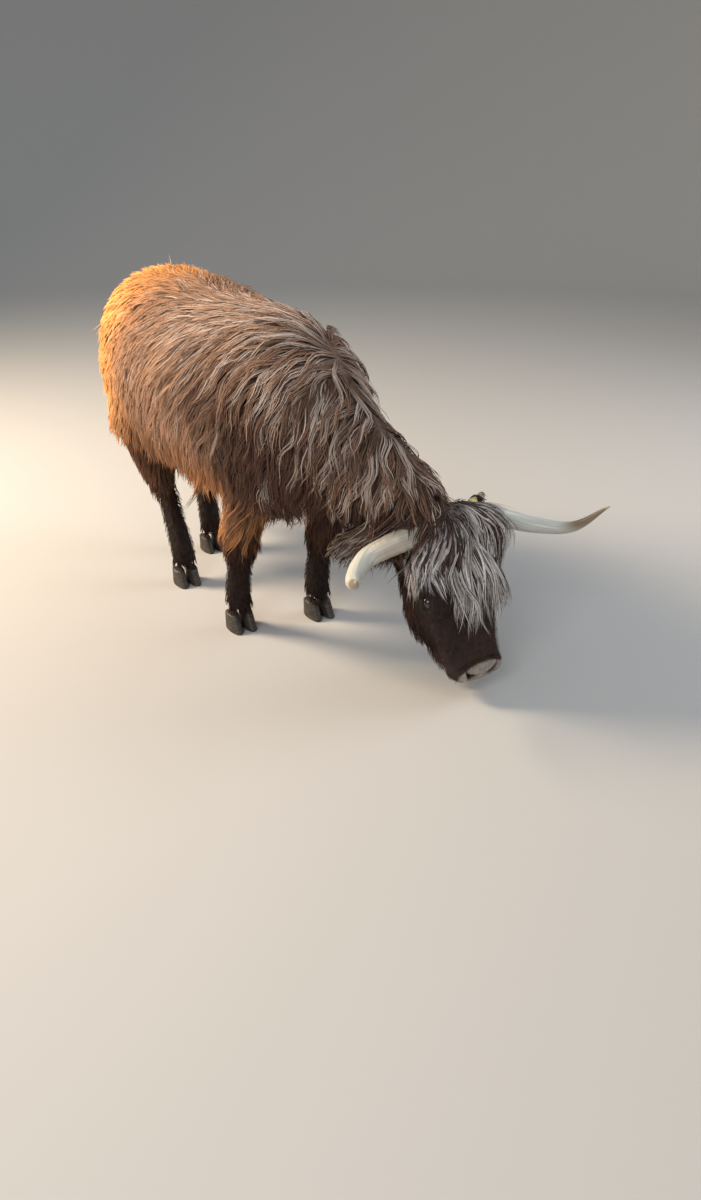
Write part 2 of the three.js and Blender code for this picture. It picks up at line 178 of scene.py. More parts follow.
def mesh_arrays(mesh):
    """The vertices (n, 3) and triangles (m, 3) of a mesh as arrays."""
    mesh.calc_loop_triangles()
    vertices = np.empty(len(mesh.vertices) * 3, np.float64)
    mesh.vertices.foreach_get("co", vertices)
    triangles = np.empty(len(mesh.loop_triangles) * 3, np.int32)
    mesh.loop_triangles.foreach_get("vertices", triangles)
    return vertices.reshape(-1, 3), triangles.reshape(-1, 3)


def mesh_of(name, vertices, faces):
    """A smoothly shaded mesh from arrays: vertices (n, 3), and faces (m, 3 or 4) or a list of such arrays."""
    faces = faces if isinstance(faces, list) else [faces]
    mesh = bpy.data.meshes.new(name)
    mesh.vertices.add(len(vertices))
    mesh.vertices.foreach_set("co", np.ascontiguousarray(vertices, np.float32).ravel())
    corners = np.concatenate([f.ravel() for f in faces]).astype(np.int32)
    sizes = np.concatenate([np.full(len(f), f.shape[1], np.int32) for f in faces])
    mesh.loops.add(len(corners))
    mesh.loops.foreach_set("vertex_index", corners)
    mesh.polygons.add(len(sizes))
    mesh.polygons.foreach_set("loop_start", np.concatenate([[0], np.cumsum(sizes)[:-1]]).astype(np.int32))
    mesh.polygons.foreach_set("use_smooth", np.full(len(sizes), True))
    mesh.update(calc_edges=True)
    return mesh


def object_of(name, mesh, look=None):
    """A new object at the origin that shows a mesh, in a material if one is given."""
    piece = bpy.data.objects.new(name, mesh)
    bpy.context.scene.collection.objects.link(piece)
    if look:
        mesh.materials.append(look)
    return piece


def with_modifiers(name, vertices, faces, settings, weights=None):
    """The arrays of a mesh after modifiers, given as a list of (kind, {setting: value}). weights go to the vertex
    group "most", in steps of a tenth."""
    piece = object_of(name, mesh_of(name, vertices, faces))
    if weights is not None:
        group = piece.vertex_groups.new(name="most")
        steps = np.round(weights * 10).astype(int)
        for step in range(11):
            group.add(np.flatnonzero(steps == step).tolist(), step / 10, "REPLACE")
    for kind, values in settings:
        modifier = piece.modifiers.new(kind, kind)
        for key, value in values.items():
            setattr(modifier, key, value)
    graph = bpy.context.evaluated_depsgraph_get()
    result = bpy.data.meshes.new_from_object(piece.evaluated_get(graph))
    arrays = mesh_arrays(result)
    bpy.data.objects.remove(piece)
    bpy.data.meshes.remove(result)
    return arrays


def joined(parts):
    """Several (vertices, triangles) as one, with the number of the part on each triangle."""
    starts = np.cumsum([0] + [len(v) for v, _ in parts[:-1]])
    vertices = np.concatenate([v for v, _ in parts])
    triangles = np.concatenate([t + s for (_, t), s in zip(parts, starts)])
    labels = np.concatenate([np.full(len(t), k) for k, (_, t) in enumerate(parts)])
    return vertices, triangles, labels


def unit(vectors):
    """Vectors of length one."""
    return vectors / np.maximum(np.linalg.norm(vectors, axis=-1, keepdims=True), 1e-9)


def dots(a, b):
    """The dot product of each pair of vectors."""
    return np.einsum("ij,ij->i", a, b)


def vertex_normals(vertices, triangles):
    """Unit normals of the vertices: the sum of the faces' normals, weighted by their areas."""
    a, b, c = (vertices[triangles[:, k]] for k in range(3))
    face = np.cross(b - a, c - a)
    total = np.zeros_like(vertices)
    for k in range(3):
        for axis in range(3):
            total[:, axis] += np.bincount(triangles[:, k], face[:, axis], len(vertices))
    return unit(total)


def relaxed(values, triangles, rounds, strength=0.5):
    """Values on the vertices, each moved towards the mean of its neighbours, several times over."""
    values = np.asarray(values, float)
    columns = values.reshape(len(values), -1).copy()
    pairs = np.concatenate([triangles[:, [0, 1]], triangles[:, [1, 2]], triangles[:, [2, 0]]])
    count = np.maximum(np.bincount(pairs[:, 0], minlength=len(values)), 1)
    for _ in range(rounds):
        for axis in range(columns.shape[1]):
            mean = np.bincount(pairs[:, 0], columns[pairs[:, 1], axis], len(values)) / count
            columns[:, axis] += strength * (mean - columns[:, axis])
    return columns.reshape(values.shape)


def tree_of(vertices, triangles):
    """A tree that finds places on a surface."""
    return BVHTree.FromPolygons(vertices.tolist(), triangles.tolist())


def nearest_on(tree, points):
    """For each point: the nearest place on a surface, the surface's normal there, and the number of the face."""
    found = [tree.find_nearest(p) for p in points.tolist()]
    return tuple(np.array([f[k] for f in found]) for k in range(3))


def ramp(values, low, high):
    """0 below low, 1 above high, and a smooth step between; low may be the higher one."""
    t = np.clip((values - low) / (high - low), 0, 1)
    return t * t * (3 - 2 * t)


TRUNK, NECK, LEG, TAIL, UDDER, HEAD, EAR, LID = range(8)
LEG_NAMES = ("leg_fore_right", "leg_fore_left", "leg_hind_right", "leg_hind_left")
FLESH = {"trunk": TRUNK, "neck": NECK, **{name: LEG for name in LEG_NAMES}, "tail": TAIL, "udder": UDDER}


def forward_of(points):
    """How far points are in front of the tail head."""
    return TAIL_HEAD[1] - points[:, 1]


def coat_depth(points, normals, part):
    """How far the hide lies inside the solids: deep under the mane and the skirt, shallow on rump and legs."""
    forward, up = forward_of(points), points[:, 2]
    trunk = 0.021 + 0.029 * ramp(forward, 0.25, 0.7) + 0.004 * ramp(forward, 0.8, 1.1)
    trunk += 0.075 * np.clip(-normals[:, 2], 0, 1) * ramp(forward, 0.25, 0.6)
    neck = 0.046 + 0.03 * np.clip(-normals[:, 2], 0, 1) - 0.022 * ramp(forward, 1.38, 1.52)
    leg = 0.010 + 0.020 * ramp(up, 0.2, 0.5)
    return np.select(
        [part == TRUNK, part == NECK, part == LEG, part == TAIL],
        [trunk, neck, leg, np.full(len(points), 0.011)],
        0.001,
    )


def solids_of(parts):
    """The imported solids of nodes, given as {name: part of the body}, in one: the vertices, the triangles, and the
    part that each triangle belongs to."""
    vertices, triangles, labels = joined([mesh_arrays(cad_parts[name].data) for name in parts])
    return vertices, triangles, np.array(list(parts.values()))[labels]


COARSE = 0.012  # the size of the voxels that the body's flesh is remeshed with
solid_vertices, solid_triangles, solid_parts = solids_of(FLESH)
to_flesh = [("REMESH", {"mode": "VOXEL", "voxel_size": COARSE}), ("SMOOTH", {"factor": 0.5, "iterations": 14})]
body_vertices, body_triangles = with_modifiers("flesh", solid_vertices, solid_triangles, to_flesh)
_, _, nearest_face = nearest_on(tree_of(solid_vertices, solid_triangles), body_vertices)
body_normals = vertex_normals(body_vertices, body_triangles)
depth = coat_depth(body_vertices, body_normals, solid_parts[nearest_face])
depth = relaxed(depth, body_triangles, 12)
body_normals = unit(relaxed(body_normals, body_triangles, 4))
body_vertices = relaxed(body_vertices - body_normals * depth[:, None], body_triangles, 3)

# ---------------------------------------------------------------- the flesh of the head
# The skull, cheeks, jaw, muzzle and orbits are rounded tubes and swellings in the head's own frame. They join into
# one hide with the neck, and the nostrils, the mouth and the folds are pressed into it.


def smooth_line(points, count):
    """A curve through points, sampled evenly: on each stretch a cubic whose slope at a point is half the step
    between that point's two neighbours (Catmull-Rom)."""
    knots = np.asarray(points, float)
    padded = np.vstack([2 * knots[0] - knots[1], knots, 2 * knots[-1] - knots[-2]])
    t = np.linspace(0, len(knots) - 1, count)
    k = np.minimum(t.astype(int), len(knots) - 2)
    u = (t - k)[:, None]
    a, b, c, d = padded[k], padded[k + 1], padded[k + 2], padded[k + 3]
    return 0.5 * (2 * b + (c - a) * u + (2 * a - 5 * b + 4 * c - d) * u**2 + (3 * b - a - 3 * c + d) * u**3)


def tube(stations, count, sides, across=(1, 0, 0), power=2.0, ends=(0.02, 0.02), end_rings=5, cup=0.0):
    """A closed tube along a smooth line through stations (x, y, z, half, above, below). A ring's point at angle a is
    half * cos(a) ^ (2 / power) to the side and above or below * sin(a) ^ (2 / power) upwards, and the two ends
    close as quarter ellipses of the given lengths. cup bends the section: its sides rise by cup * cos(a) ^ 2."""
    rows = smooth_line(stations, count)
    line, sizes = rows[:, :3], rows[:, 3:]
    along = unit(np.gradient(line, axis=0))
    turn = np.linspace(0, math.pi / 2, end_rings + 1)[1:-1]
    first = line[0] - along[0] * ends[0] * np.cos(turn)[:, None]
    last = line[-1] + along[-1] * ends[1] * np.cos(turn[::-1])[:, None]
    middles = np.vstack([first, line, last])
    share = np.concatenate([np.sin(turn), np.ones(count), np.sin(turn[::-1])])[:, None]
    repeat = len(turn)
    along = np.vstack([np.repeat(along[:1], repeat, 0), along, np.repeat(along[-1:], repeat, 0)])
    sizes = np.vstack([np.repeat(sizes[:1], repeat, 0), sizes, np.repeat(sizes[-1:], repeat, 0)])
    across = np.asarray(across, float)
    side = unit(across - along * (along @ across)[:, None])
    up = np.cross(along, side)
    angle = np.linspace(0, 2 * math.pi, sides, endpoint=False)
    c, s = (np.sign(v) * np.abs(v) ** (2 / power) for v in (np.cos(angle), np.sin(angle)))
    reach = np.where(s > 0, sizes[:, 1:2], sizes[:, 2:3])
    rings = middles[:, None] + side[:, None] * (sizes[:, :1] * share * c)[..., None]
    rings += up[:, None] * (reach * share * s + cup * share * c**2)[..., None]
    poles = [line[0] - along[0] * ends[0], line[-1] + along[-1] * ends[1]]
    return closed_rings(rings, poles)


def halved(quads):
    """Each four-sided face as two triangles."""
    return np.concatenate([quads[:, [0, 1, 2]], quads[:, [0, 2, 3]]]).astype(np.int32)


def closed_rings(rings, poles):
    """Vertices and triangles of a closed surface: a first pole, rings (r, s, 3) and a last pole."""
    count, sides = rings.shape[:2]
    vertices = np.vstack([poles[0], rings.reshape(-1, 3), poles[1]])
    starts = 1 + np.arange(count) * sides
    triangles = halved(between_rings(starts[:-1], starts[1:], sides))
    i = np.arange(sides)
    j = (i + 1) % sides
    last = len(vertices) - 1
    first_cap = np.stack([np.zeros_like(i), 1 + j, 1 + i], -1)
    last_cap = np.stack([np.full_like(i, last), last - sides + i, last - sides + j], -1)
    return vertices, np.concatenate([first_cap, triangles, last_cap]).astype(np.int32)


def ellipsoid(centre, radii, sides=28):
    """A closed ellipsoid: centre + radii * (cos u cos v, sin v, sin u cos v)."""
    v = np.linspace(-math.pi / 2, math.pi / 2, sides // 2 + 1)[1:-1, None]
    u = np.linspace(0, -2 * math.pi, sides, endpoint=False)[None]
    ball = np.stack([np.cos(u) * np.cos(v), np.sin(v) + 0 * u, np.sin(u) * np.cos(v)], -1)
    poles = [centre - np.array((0, radii[1], 0)), centre + np.array((0, radii[1], 0))]
    return closed_rings(np.asarray(centre) + ball * np.asarray(radii), poles)


def face_rows(rows):
    """Stations on the middle line of the head, from rows (share of the length, front, half, above, below) in mm."""
    rows = np.asarray(rows, float)
    middle = np.zeros(len(rows))
    columns = [middle, -rows[:, 0] * HEAD_LENGTH, rows[:, 1] / 1000, *(rows[:, 2:] / 1000).T]
    return np.stack(columns, -1)


SKULL = face_rows(
    [
        (-0.03, -62, 84, 44, 80),  # poll
        (0.08, -62, 106, 60, 112),
        (0.22, -60, 120, 63, 128),  # forehead
        (0.38, -60, 127, 63, 132),  # orbits
        (0.50, -60, 122, 59, 128),  # cheeks
        (0.64, -57, 110, 53, 110),  # bridge of the nose
        (0.76, -56, 98, 48, 90),
        (0.85, -57, 95, 47, 74),  # nostrils
        (0.92, -60, 90, 44, 58),
    ]
)
JAW = face_rows(
    [
        (0.16, -172, 86, 40, 72),
        (0.34, -180, 94, 44, 84),  # angle of the jaw
        (0.52, -178, 91, 44, 86),
        (0.70, -158, 79, 36, 76),
        (0.83, -138, 67, 30, 52),  # chin
        (0.89, -131, 58, 24, 38),  # lower lip
    ]
)
NAPE = (  # forward, left and up from the tail head, half width, above and below, all in mm
    (1290, 66, 705, 105, 110, 165),
    (1400, 142, 618, 96, 96, 150),
    (1490, 216, 536, 94, 98, 150),
    (1570, 268, 470, 86, 92, 130),
)


def eye_place(way):
    """The middle of an eye in the head's frame; way is 1 for the left one and -1 for the right one."""
    return np.array((way * EYE_LEFT, -EYE_ALONG * HEAD_LENGTH, EYE_FRONT))


def eye_frame(way):
    """Three directions of an eye in the head's frame: outward, along the slit to its front corner, and upward."""
    outward = unit(np.array((way * 0.86, 0.1, 0.5)))
    along = unit(np.array((0, -1, 0)) + outward * outward[1])
    return outward, along, np.cross(outward, along) * way


head_parts = [
    tube(SKULL, 60, 64, power=2.3, ends=(0.03, 0.044), end_rings=9),
    tube(JAW, 44, 44, power=2.1, ends=(0.03, 0.022)),
    ellipsoid((0, -0.452, -0.062), (0.100, 0.046, 0.054)),  # muzzle
]
for way in (1, -1):
    brow = eye_place(way) + np.array((-way * 0.032, 0.006, -0.002))
    head_parts.append(ellipsoid(brow, (0.050, 0.070, 0.046)))  # orbit
    head_parts.append(ellipsoid((way * 0.064, -0.458, -0.044), (0.031, 0.036, 0.030)))  # wing of the nostril
    head_parts.append(ellipsoid((way * 0.082, -0.25, -0.135), (0.044, 0.115, 0.074)))  # chewing muscle
    head_parts.append(ellipsoid((way * 0.066, 0.002, -0.062), (0.056, 0.050, 0.056)))  # root of the horn
head_vertices, head_triangles, _ = joined(head_parts)
forward, left, up, half, above, below = np.array(NAPE).T / 1000
stations = np.stack([TAIL_HEAD[0] + left, TAIL_HEAD[1] - forward, up, half, above, below], -1)
nape_vertices, nape_triangles = tube(stations, 30, 40, power=2.1)
head_and_nape = joined([(from_head(head_vertices), head_triangles), (nape_vertices, nape_triangles)])

FINE = 0.0038  # the size of the voxels that the hide over flesh and head is remeshed with
whole_vertices, whole_triangles, _ = joined([(body_vertices, body_triangles), head_and_nape[:2]])
to_hide = [("REMESH", {"mode": "VOXEL", "voxel_size": FINE}), ("SMOOTH", {"factor": 0.5, "iterations": 22})]
hide_vertices, hide_triangles = with_modifiers("hide", whole_vertices, whole_triangles, to_hide)

# What is pressed into the head: the crease above the nose pad, the nostrils, the line of the mouth, the folds over
# the eyes and the groove down each cheek. Only places near the head move.
on_head_vertices = to_head(hide_vertices)
share_along = -on_head_vertices[:, 1] / HEAD_LENGTH
side_out = np.abs(on_head_vertices[:, 0])
front = on_head_vertices[:, 2]
near_head = (side_out < 0.17) & (share_along > -0.05) & (share_along < 1.1) & (front > -0.30)
hide_normals = vertex_normals(hide_vertices, hide_triangles)
normals_on_head = hide_normals @ HEAD_AXES


def groove(distance, width, depth):
    """A rounded groove: -depth at distance 0, fading as a bell of the given width."""
    return -depth * np.exp(-((distance / width) ** 2))


def nostril_place(way):
    """Where a nostril lies: the spot where a line from the middle of the muzzle meets the hide, with three directions
    there: out of the hide, along the slit from its round inner end up and back to its narrow outer end, and across."""
    start, end = (from_head(np.array(p)) for p in ((way * 0.018, -0.40, -0.066), (way * 0.056, -0.50, -0.010)))
    spot, _, _, _ = muzzle_tree.ray_cast(Vector(end + (end - start) * 3), Vector(unit(start - end)))
    spot = to_head(np.array(spot))
    around = np.linalg.norm(on_head_vertices - spot, axis=1) < 0.022
    normal = unit(normals_on_head[around].mean(0))
    slit = np.array((way * 0.80, 0.46, 0.38))
    slit = unit(slit - normal * (slit @ normal))
    return spot, normal, slit, np.cross(normal, slit) * way


def in_nostril(points, way):
    """How near points are to a nostril, with 1 on its rim. It is a comma: its middle line bends as u ^ 2, and it
    narrows from 9.5 to 4.5 mm half width towards its outer end."""
    spot, normal, slit, across = NOSTRILS[way]
    from_spot = points - spot
    u, v = from_spot @ slit, from_spot @ across
    bend = 0.010 * np.clip(u / 0.024, -1.5, 1.5) ** 2 - 0.002
    wide = 0.0095 - 0.0050 * ramp(u, -0.010, 0.020)
    long = np.maximum(np.abs(u) - 0.009, 0) / 0.015
    near = np.sqrt(((v - bend) / wide) ** 2 + long**2)
    return np.where(np.abs(from_spot @ normal) < 0.035, near, 9.0)


muzzle_tree = tree_of(hide_vertices, hide_triangles)
NOSTRILS = {way: nostril_place(way) for way in (1, -1)}


def pressed_in():
    """How far each vertex of the head moves out along its normal, in metres."""
    out = np.zeros(len(hide_vertices))
    facing = ramp(normals_on_head[:, 2], -0.2, 0.3)
    # The crease over the nose pad, which bends back at the sides, and the soft roll above it
    crease = share_along - (0.872 + 0.5 * (side_out / 0.09) ** 2 * 0.06)
    out += groove(crease * HEAD_LENGTH, 0.0055, 0.005) * ramp(side_out, 0.092, 0.066) * facing
    out -= groove(crease * HEAD_LENGTH + 0.014, 0.010, 0.003) * ramp(side_out, 0.092, 0.066) * facing
    # The line of the mouth, and the lip over it
    mouth_front = -0.112 - 0.03 * (1 - np.clip(share_along, 0, 1))
    out += groove(front - mouth_front, 0.0045, 0.009) * ramp(share_along, 0.66, 0.74)
    lip = front - mouth_front - 0.013
    out -= groove(lip, 0.008, 0.0035) * ramp(share_along, 0.72, 0.82)
    for way in (1, -1):
        # A nostril 17 mm deep with a rim 4 mm high
        near = in_nostril(on_head_vertices, way)
        out -= 0.017 * np.exp(-(near**3))
        out += 0.0040 * np.exp(-(((near - 1.75) / 0.55) ** 2))
        # The folds above and below the eye
        eye = on_head_vertices - eye_place(way)
        ring = np.linalg.norm(eye * np.array((1, 0.80, 1)), axis=1)
        above = ramp(eye[:, 2] + 0.3 * eye[:, 1], -0.012, 0.016)
        out += groove(ring - 0.044, 0.005, 0.0032 * above)
        out += groove(ring - 0.040, 0.005, 0.0018 * (1 - above))
        # The vein that runs from below the eye towards the muzzle
        vein = eye[:, 2] + 0.075 + 0.25 * (share_along - 0.45) * HEAD_LENGTH
        out -= groove(vein, 0.006, 0.002) * ramp(share_along, 0.48, 0.56) * ramp(share_along, 0.80, 0.70)
    # The groove down each cheek, the wrinkles behind the nose, and the short groove in the middle of the upper lip
    cheek = front - (-0.118 + 0.10 * (share_along - 0.6))
    out += groove(cheek, 0.016, 0.006) * ramp(share_along, 0.45, 0.55) * ramp(share_along, 0.8, 0.7)
    wrinkle = np.sin(share_along * 150 + 6 * front / 0.1) * 0.0006
    out += wrinkle * ramp(share_along, 0.70, 0.78) * ramp(share_along, 0.87, 0.82)
    middle_line = ramp(share_along, 0.93, 0.97) * ramp(front, -0.05, -0.075) * ramp(front, -0.125, -0.11)
    out += groove(on_head_vertices[:, 0], 0.0045, 0.0030) * middle_line
    return np.where(near_head, out, 0)


hide_vertices = hide_vertices + hide_normals * pressed_in()[:, None]

# The eyeballs need room: the hide sinks by 20 mm inside the almond of the lids' opening.
SLIT_LONG, SLIT_HIGH, SLIT_DEEP = 0.020, 0.0125, 0.020
for way in (1, -1):
    from_eye = to_head(hide_vertices) - eye_place(way)
    distance = np.linalg.norm(from_eye, axis=1)
    outward = eye_frame(way)[0]
    slit = from_eye - (from_eye @ outward)[:, None] * outward
    height = slit @ unit(np.cross(outward, (0, 1, 0)))
    almond = np.sqrt((slit[:, 1] / SLIT_LONG) ** 2 + (height / SLIT_HIGH) ** 2)
    inside = (distance < 0.05) & (from_eye @ outward > -0.005)
    sink = ramp(almond, 1.15, 0.85) * inside
    hide_vertices = hide_vertices - (from_head(outward) - POLL) * (sink * SLIT_DEEP)[:, None]

# ---------------------------------------------------------------- one hide over all the flesh
# The body needs few faces under its long coat and the head needs many, so the hide is thinned everywhere but there.
HIDE_SHARE = 0.22  # the share of the faces that is kept
thinned = 1 - ramp(share_along, -0.25, 0.0) * near_head
to_thin = [("DECIMATE", {"ratio": HIDE_SHARE, "vertex_group": "most", "vertex_group_factor": 4.0})]
hide_vertices, hide_triangles = with_modifiers("hide", hide_vertices, hide_triangles, to_thin, weights=thinned)

# ---------------------------------------------------------------- ears and eyelids
# An ear is a thin leaf of gristle under skin, cupped towards the front, and a lid is a soft rim round the eyeball.
# Both belong to the hide and are set into it.
EAR_LEAF = (  # left, up the head, front, half width, above and below, all in mm
    (84, -30, -100, 24, 12, 12),
    (128, -21, -126, 39, 7, 7),
    (172, -10, -153, 50, 5, 5),
    (218, -3, -184, 52, 4, 4),
    (256, 1, -209, 40, 3.5, 3.5),
    (278, 2, -224, 22, 3, 3),
)


def ear_leaf(way):
    """The leaf of an ear: a flat tube along the ear, bent into a cup that opens to the front."""
    leaf = np.array(EAR_LEAF) / 1000 * np.array((way, 1, 1, 1, 1, 1))
    return tube(leaf, 36, 30, across=(0, -1, 0), ends=(0.008, 0.014), cup=-0.017 * way)


def lid_ring(way, count=56):
    """The rim of both lids: a closed ring whose section runs from the ball over the rim down into the hide. At angle
    a it stands (long + out) * cos(a) along the slit and (high * pointed + out * (1.25 - 0.2 * sin(a))) * sin(a)
    across it, where pointed = 1 - 0.22 * cos(a) ^ 4 narrows the corners."""
    outward, along, upward = eye_frame(way)
    long, high = 0.0185, 0.0105
    section = (  # how far out from the slit, and how far up from the ball
        (0.0, 0.0006), (0.0006, 0.0030), (0.0028, 0.0046), (0.0062, 0.0042), (0.0120, 0.0000), (0.019, -0.012),
        (0.010, -0.016), (0.001, -0.006),
    )
    a = np.linspace(0, 2 * math.pi, count, endpoint=False)
    pointed = 1 - 0.22 * np.cos(a) ** 4
    rows = []
    for out, rise in section:
        x = (long + out) * np.cos(a)
        y = (high * pointed + out * (1.25 - 0.2 * np.sin(a))) * np.sin(a)
        lift = np.sqrt(np.maximum((EYE_RADIUS + 0.0006) ** 2 - x**2 - y**2, 0.00001))
        lift = np.where(out > 0.008, np.sqrt(EYE_RADIUS**2 - long**2 * np.cos(a) ** 2 * 0.8 - high**2), lift)
        rows.append(eye_place(way) + outward * (lift + rise)[:, None] + along * x[:, None] + upward * y[:, None])
    ring = np.stack(rows)
    return torus(ring if way > 0 else ring[::-1])


def torus(rings):
    """Vertices and triangles of a closed ring of rings (r, s, 3)."""
    count, sides = rings.shape[:2]
    starts = np.arange(count) * sides
    return rings.reshape(-1, 3), halved(between_rings(starts, np.roll(starts, -1), sides))


def outward_faces(vertices, triangles):
    """The triangles turned over where the closed surface would have a negative volume."""
    a, b, c = (vertices[triangles[:, k]] for k in range(3))
    return triangles if dots(a, np.cross(b, c)).sum() > 0 else triangles[:, ::-1]


extra = []
for way in (1, -1):
    for shape in (ear_leaf(way), lid_ring(way)):
        points = from_head(shape[0])
        extra.append((points, outward_faces(points - points.mean(0), shape[1])))
extra_parts = (EAR, LID, EAR, LID)
all_vertices, all_triangles, all_parts = solids_of({**FLESH, "head": HEAD, "jaw": HEAD})
solids_tree = tree_of(all_vertices, all_triangles)
_, _, faces_near = nearest_on(solids_tree, hide_vertices)
hide_part = all_parts[faces_near]
hide_parts = [hide_part] + [np.full(len(v), part) for (v, _), part in zip(extra, extra_parts)]
skin_vertices, skin_triangles, _ = joined([(hide_vertices, hide_triangles), *extra])
skin_part = np.concatenate(hide_parts)
skin_normals = vertex_normals(skin_vertices, skin_triangles)

# ---------------------------------------------------------------- the markings with painted sunlight and shade, for the hide and the coat alike
# Ginger on the rump, brown on the flanks, near black on shoulders, neck, face and legs, with blond locks in the mane.
# The rump's ginger carries painted sunlight, and painted shade darkens the low rump and the legs.
# The ginger is as bright as the coat where the sun falls on it: partly its own colour and partly painted sunlight
SUNLIT_GINGER = np.array((0.74, 0.325, 0.105))
BROWN = np.array((0.30, 0.180, 0.122))
RUSSET = np.array((0.28, 0.135, 0.075))
DARK = np.array((0.066, 0.037, 0.029))
FACE_DARK = np.array((0.036, 0.020, 0.017))
EAR_BROWN = np.array((0.13, 0.085, 0.062))
BLOND = np.array((0.62, 0.53, 0.47))
PINK = np.array((0.36, 0.315, 0.27))

# The middle line of trunk and neck: how far forward and how high it is, and how far the topline is above it
MIDDLE_AT = (0.60, 0.85, 1.07, 1.23, 1.35, 1.44, 1.50)
MIDDLE_UP = (0.785, 0.780, 0.790, 0.755, 0.680, 0.600, 0.535)
MIDDLE_TOP = (0.356, 0.348, 0.320, 0.260, 0.200, 0.158, 0.125)


def blend(a, b, share):
    """From colour a to colour b by a share for each point."""
    return a + (b - a) * np.asarray(share)[..., None]


def markings_and_painted_light(points, part):
    """The colour of the coat at points of the hide, with painted sunlight on the rump and painted shade low on the
    rump and on the legs, and the share of locks there that are pale.
    """
    forward, up = forward_of(points), points[:, 2]
    cloud = 0.5 + 0.25 * np.sin(points @ (9.0, 7.0, 5.0)) + 0.25 * np.sin(points @ (-6.0, 11.0, 13.0) + 1.3)
    # Ginger over the rump: the coat's own colour, brightened with painted sunlight
    rump = ramp(forward + 0.10 * (cloud - 0.5) - 0.18 * (up - 0.8), 0.58, 0.08)
    trunk = blend(BROWN, RUSSET, ramp(up, 0.86, 0.52) * 0.8)
    trunk = blend(trunk, SUNLIT_GINGER, rump)
    # Painted shade: darker low on the buttocks
    trunk = blend(trunk, BROWN * 0.4, ramp(up, 0.70, 0.48) * ramp(forward, 0.55, 0.30) * 0.7)
    trunk = blend(trunk, SUNLIT_GINGER * 0.7, ramp(up, 0.78, 0.60) * ramp(forward, 0.45, 0.65) * 0.5)
    middle = np.interp(forward, MIDDLE_AT, MIDDLE_UP)
    over = (up - middle) / np.interp(forward, MIDDLE_AT, MIDDLE_TOP)
    front = ramp(forward + 0.15 * cloud - 0.12 * ramp(up, 0.65, 0.45), 0.92, 1.22)
    trunk = blend(trunk, DARK, front * (0.94 - 0.80 * ramp(over, 0.55, 0.92)))
    # The legs' own dark hair, with all its colours darkened further by painted shade under the body
    leg = blend(DARK * 0.42, RUSSET * 0.4, ramp(up, 0.28, 0.50) * 0.8)
    leg = blend(leg, RUSSET * 0.55, (forward < 0.7) * ramp(up, 0.36, 0.56) * 0.8)
    leg = blend(leg, SUNLIT_GINGER * 0.75, (forward < 0.7) * ramp(up, 0.54, 0.76) * 0.7)
    tail = blend(BROWN, SUNLIT_GINGER, ramp(up, 0.6, 0.95))
    here = to_head(points)
    along = -here[:, 1] / HEAD_LENGTH
    face = blend(FACE_DARK, RUSSET * 0.6, 0.22 * ramp(along, 0.55, 0.75) * ramp(np.abs(here[:, 0]), 0.10, 0.02))
    crest = ramp(over + 0.2 * (cloud - 0.5), 0.58, 0.94)
    neck = blend(trunk * 0 + DARK, BROWN, 0.10 * cloud + 0.45 * crest)
    colour = np.select(
        [(part == k)[:, None] for k in (TRUNK, NECK, LEG, TAIL, HEAD, EAR, UDDER)],
        [trunk, neck, leg, tail, face, face * 0 + EAR_BROWN, face * 0 + PINK * 0.5],
        face * 0 + FACE_DARK,
    )
    sweep = ramp(forward, 0.55, 0.80) * ramp(over + 0.2 * (cloud - 0.5), 0.58, 0.88)
    mane = 0.04 + 0.42 * crest
    pale = np.select([part == TRUNK, part == NECK, part == EAR], [0.02 + 0.56 * sweep, mane, 0.25 + 0 * up], 0.0)
    return colour, pale


def painted(mesh, colours):
    """Gives a mesh the colour attribute "coat_colour", one colour for each vertex."""
    layer = mesh.attributes.new("coat_colour", "FLOAT_COLOR", "POINT")
    rgba = np.concatenate([colours, np.ones((len(colours), 1))], 1)
    layer.data.foreach_set("color", rgba.astype(np.float32).ravel())


# ---------------------------------------------------------------- the skin
# One hide with its colours: as dark as the roots of the hair, bare and pinkish on the nose pad, near black on the
# lids and round the mouth, and near black inside the nostrils as painted shade.
skin_colour, _ = markings_and_painted_light(skin_vertices, skin_part)
skin_colour = skin_colour * 0.6
here = to_head(skin_vertices)
along = -here[:, 1] / HEAD_LENGTH
pad_half = 0.050 + 0.034 * ramp(here[:, 2], -0.105, -0.055)
on_nose = (skin_part == HEAD) * ramp(along - 0.045 * (here[:, 0] / 0.09) ** 2, 0.883, 0.898)
on_nose *= ramp(np.abs(here[:, 0]) - pad_half, 0.006, -0.006) * ramp(here[:, 2], -0.118, -0.106)
speckle = 0.5 + 0.5 * np.sin(here @ (310.0, 270.0, 190.0)) * np.sin(here @ (-210.0, 330.0, 260.0))
skin_colour = blend(skin_colour, PINK * (0.8 + 0.3 * speckle[:, None]), on_nose)
lips = (skin_part == HEAD) * ramp(along, 0.84, 0.92) * ramp(here[:, 2], -0.104, -0.118)
skin_colour = blend(skin_colour, PINK * 0.30, lips)
for way in (1, -1):
    near = in_nostril(here, way)
    skin_colour = blend(skin_colour, PINK * 0.45, ramp(near, 1.9, 1.2) * on_nose * 0.6)
    # Painted shade: near black deep inside the nostril
    skin_colour = blend(skin_colour, DARK * 0.30, ramp(near, 1.15, 0.85))
skin_colour = np.where((skin_part == LID)[:, None], FACE_DARK * 0.45, skin_colour)


def add_node(material, kind, inputs=None, **settings):
    """A new node of a material, with values set on its inputs and settings on the node itself."""
    node = material.node_tree.nodes.new("ShaderNode" + kind)
    for key, value in settings.items():
        setattr(node, key, value)
    for socket, value in (inputs or {}).items():
        node.inputs[socket].default_value = value
    return node


def wire(material, *pairs):
    """Links each pair (output, input) of a material's sockets."""
    for output, socket in pairs:
        material.node_tree.links.new(output, socket)


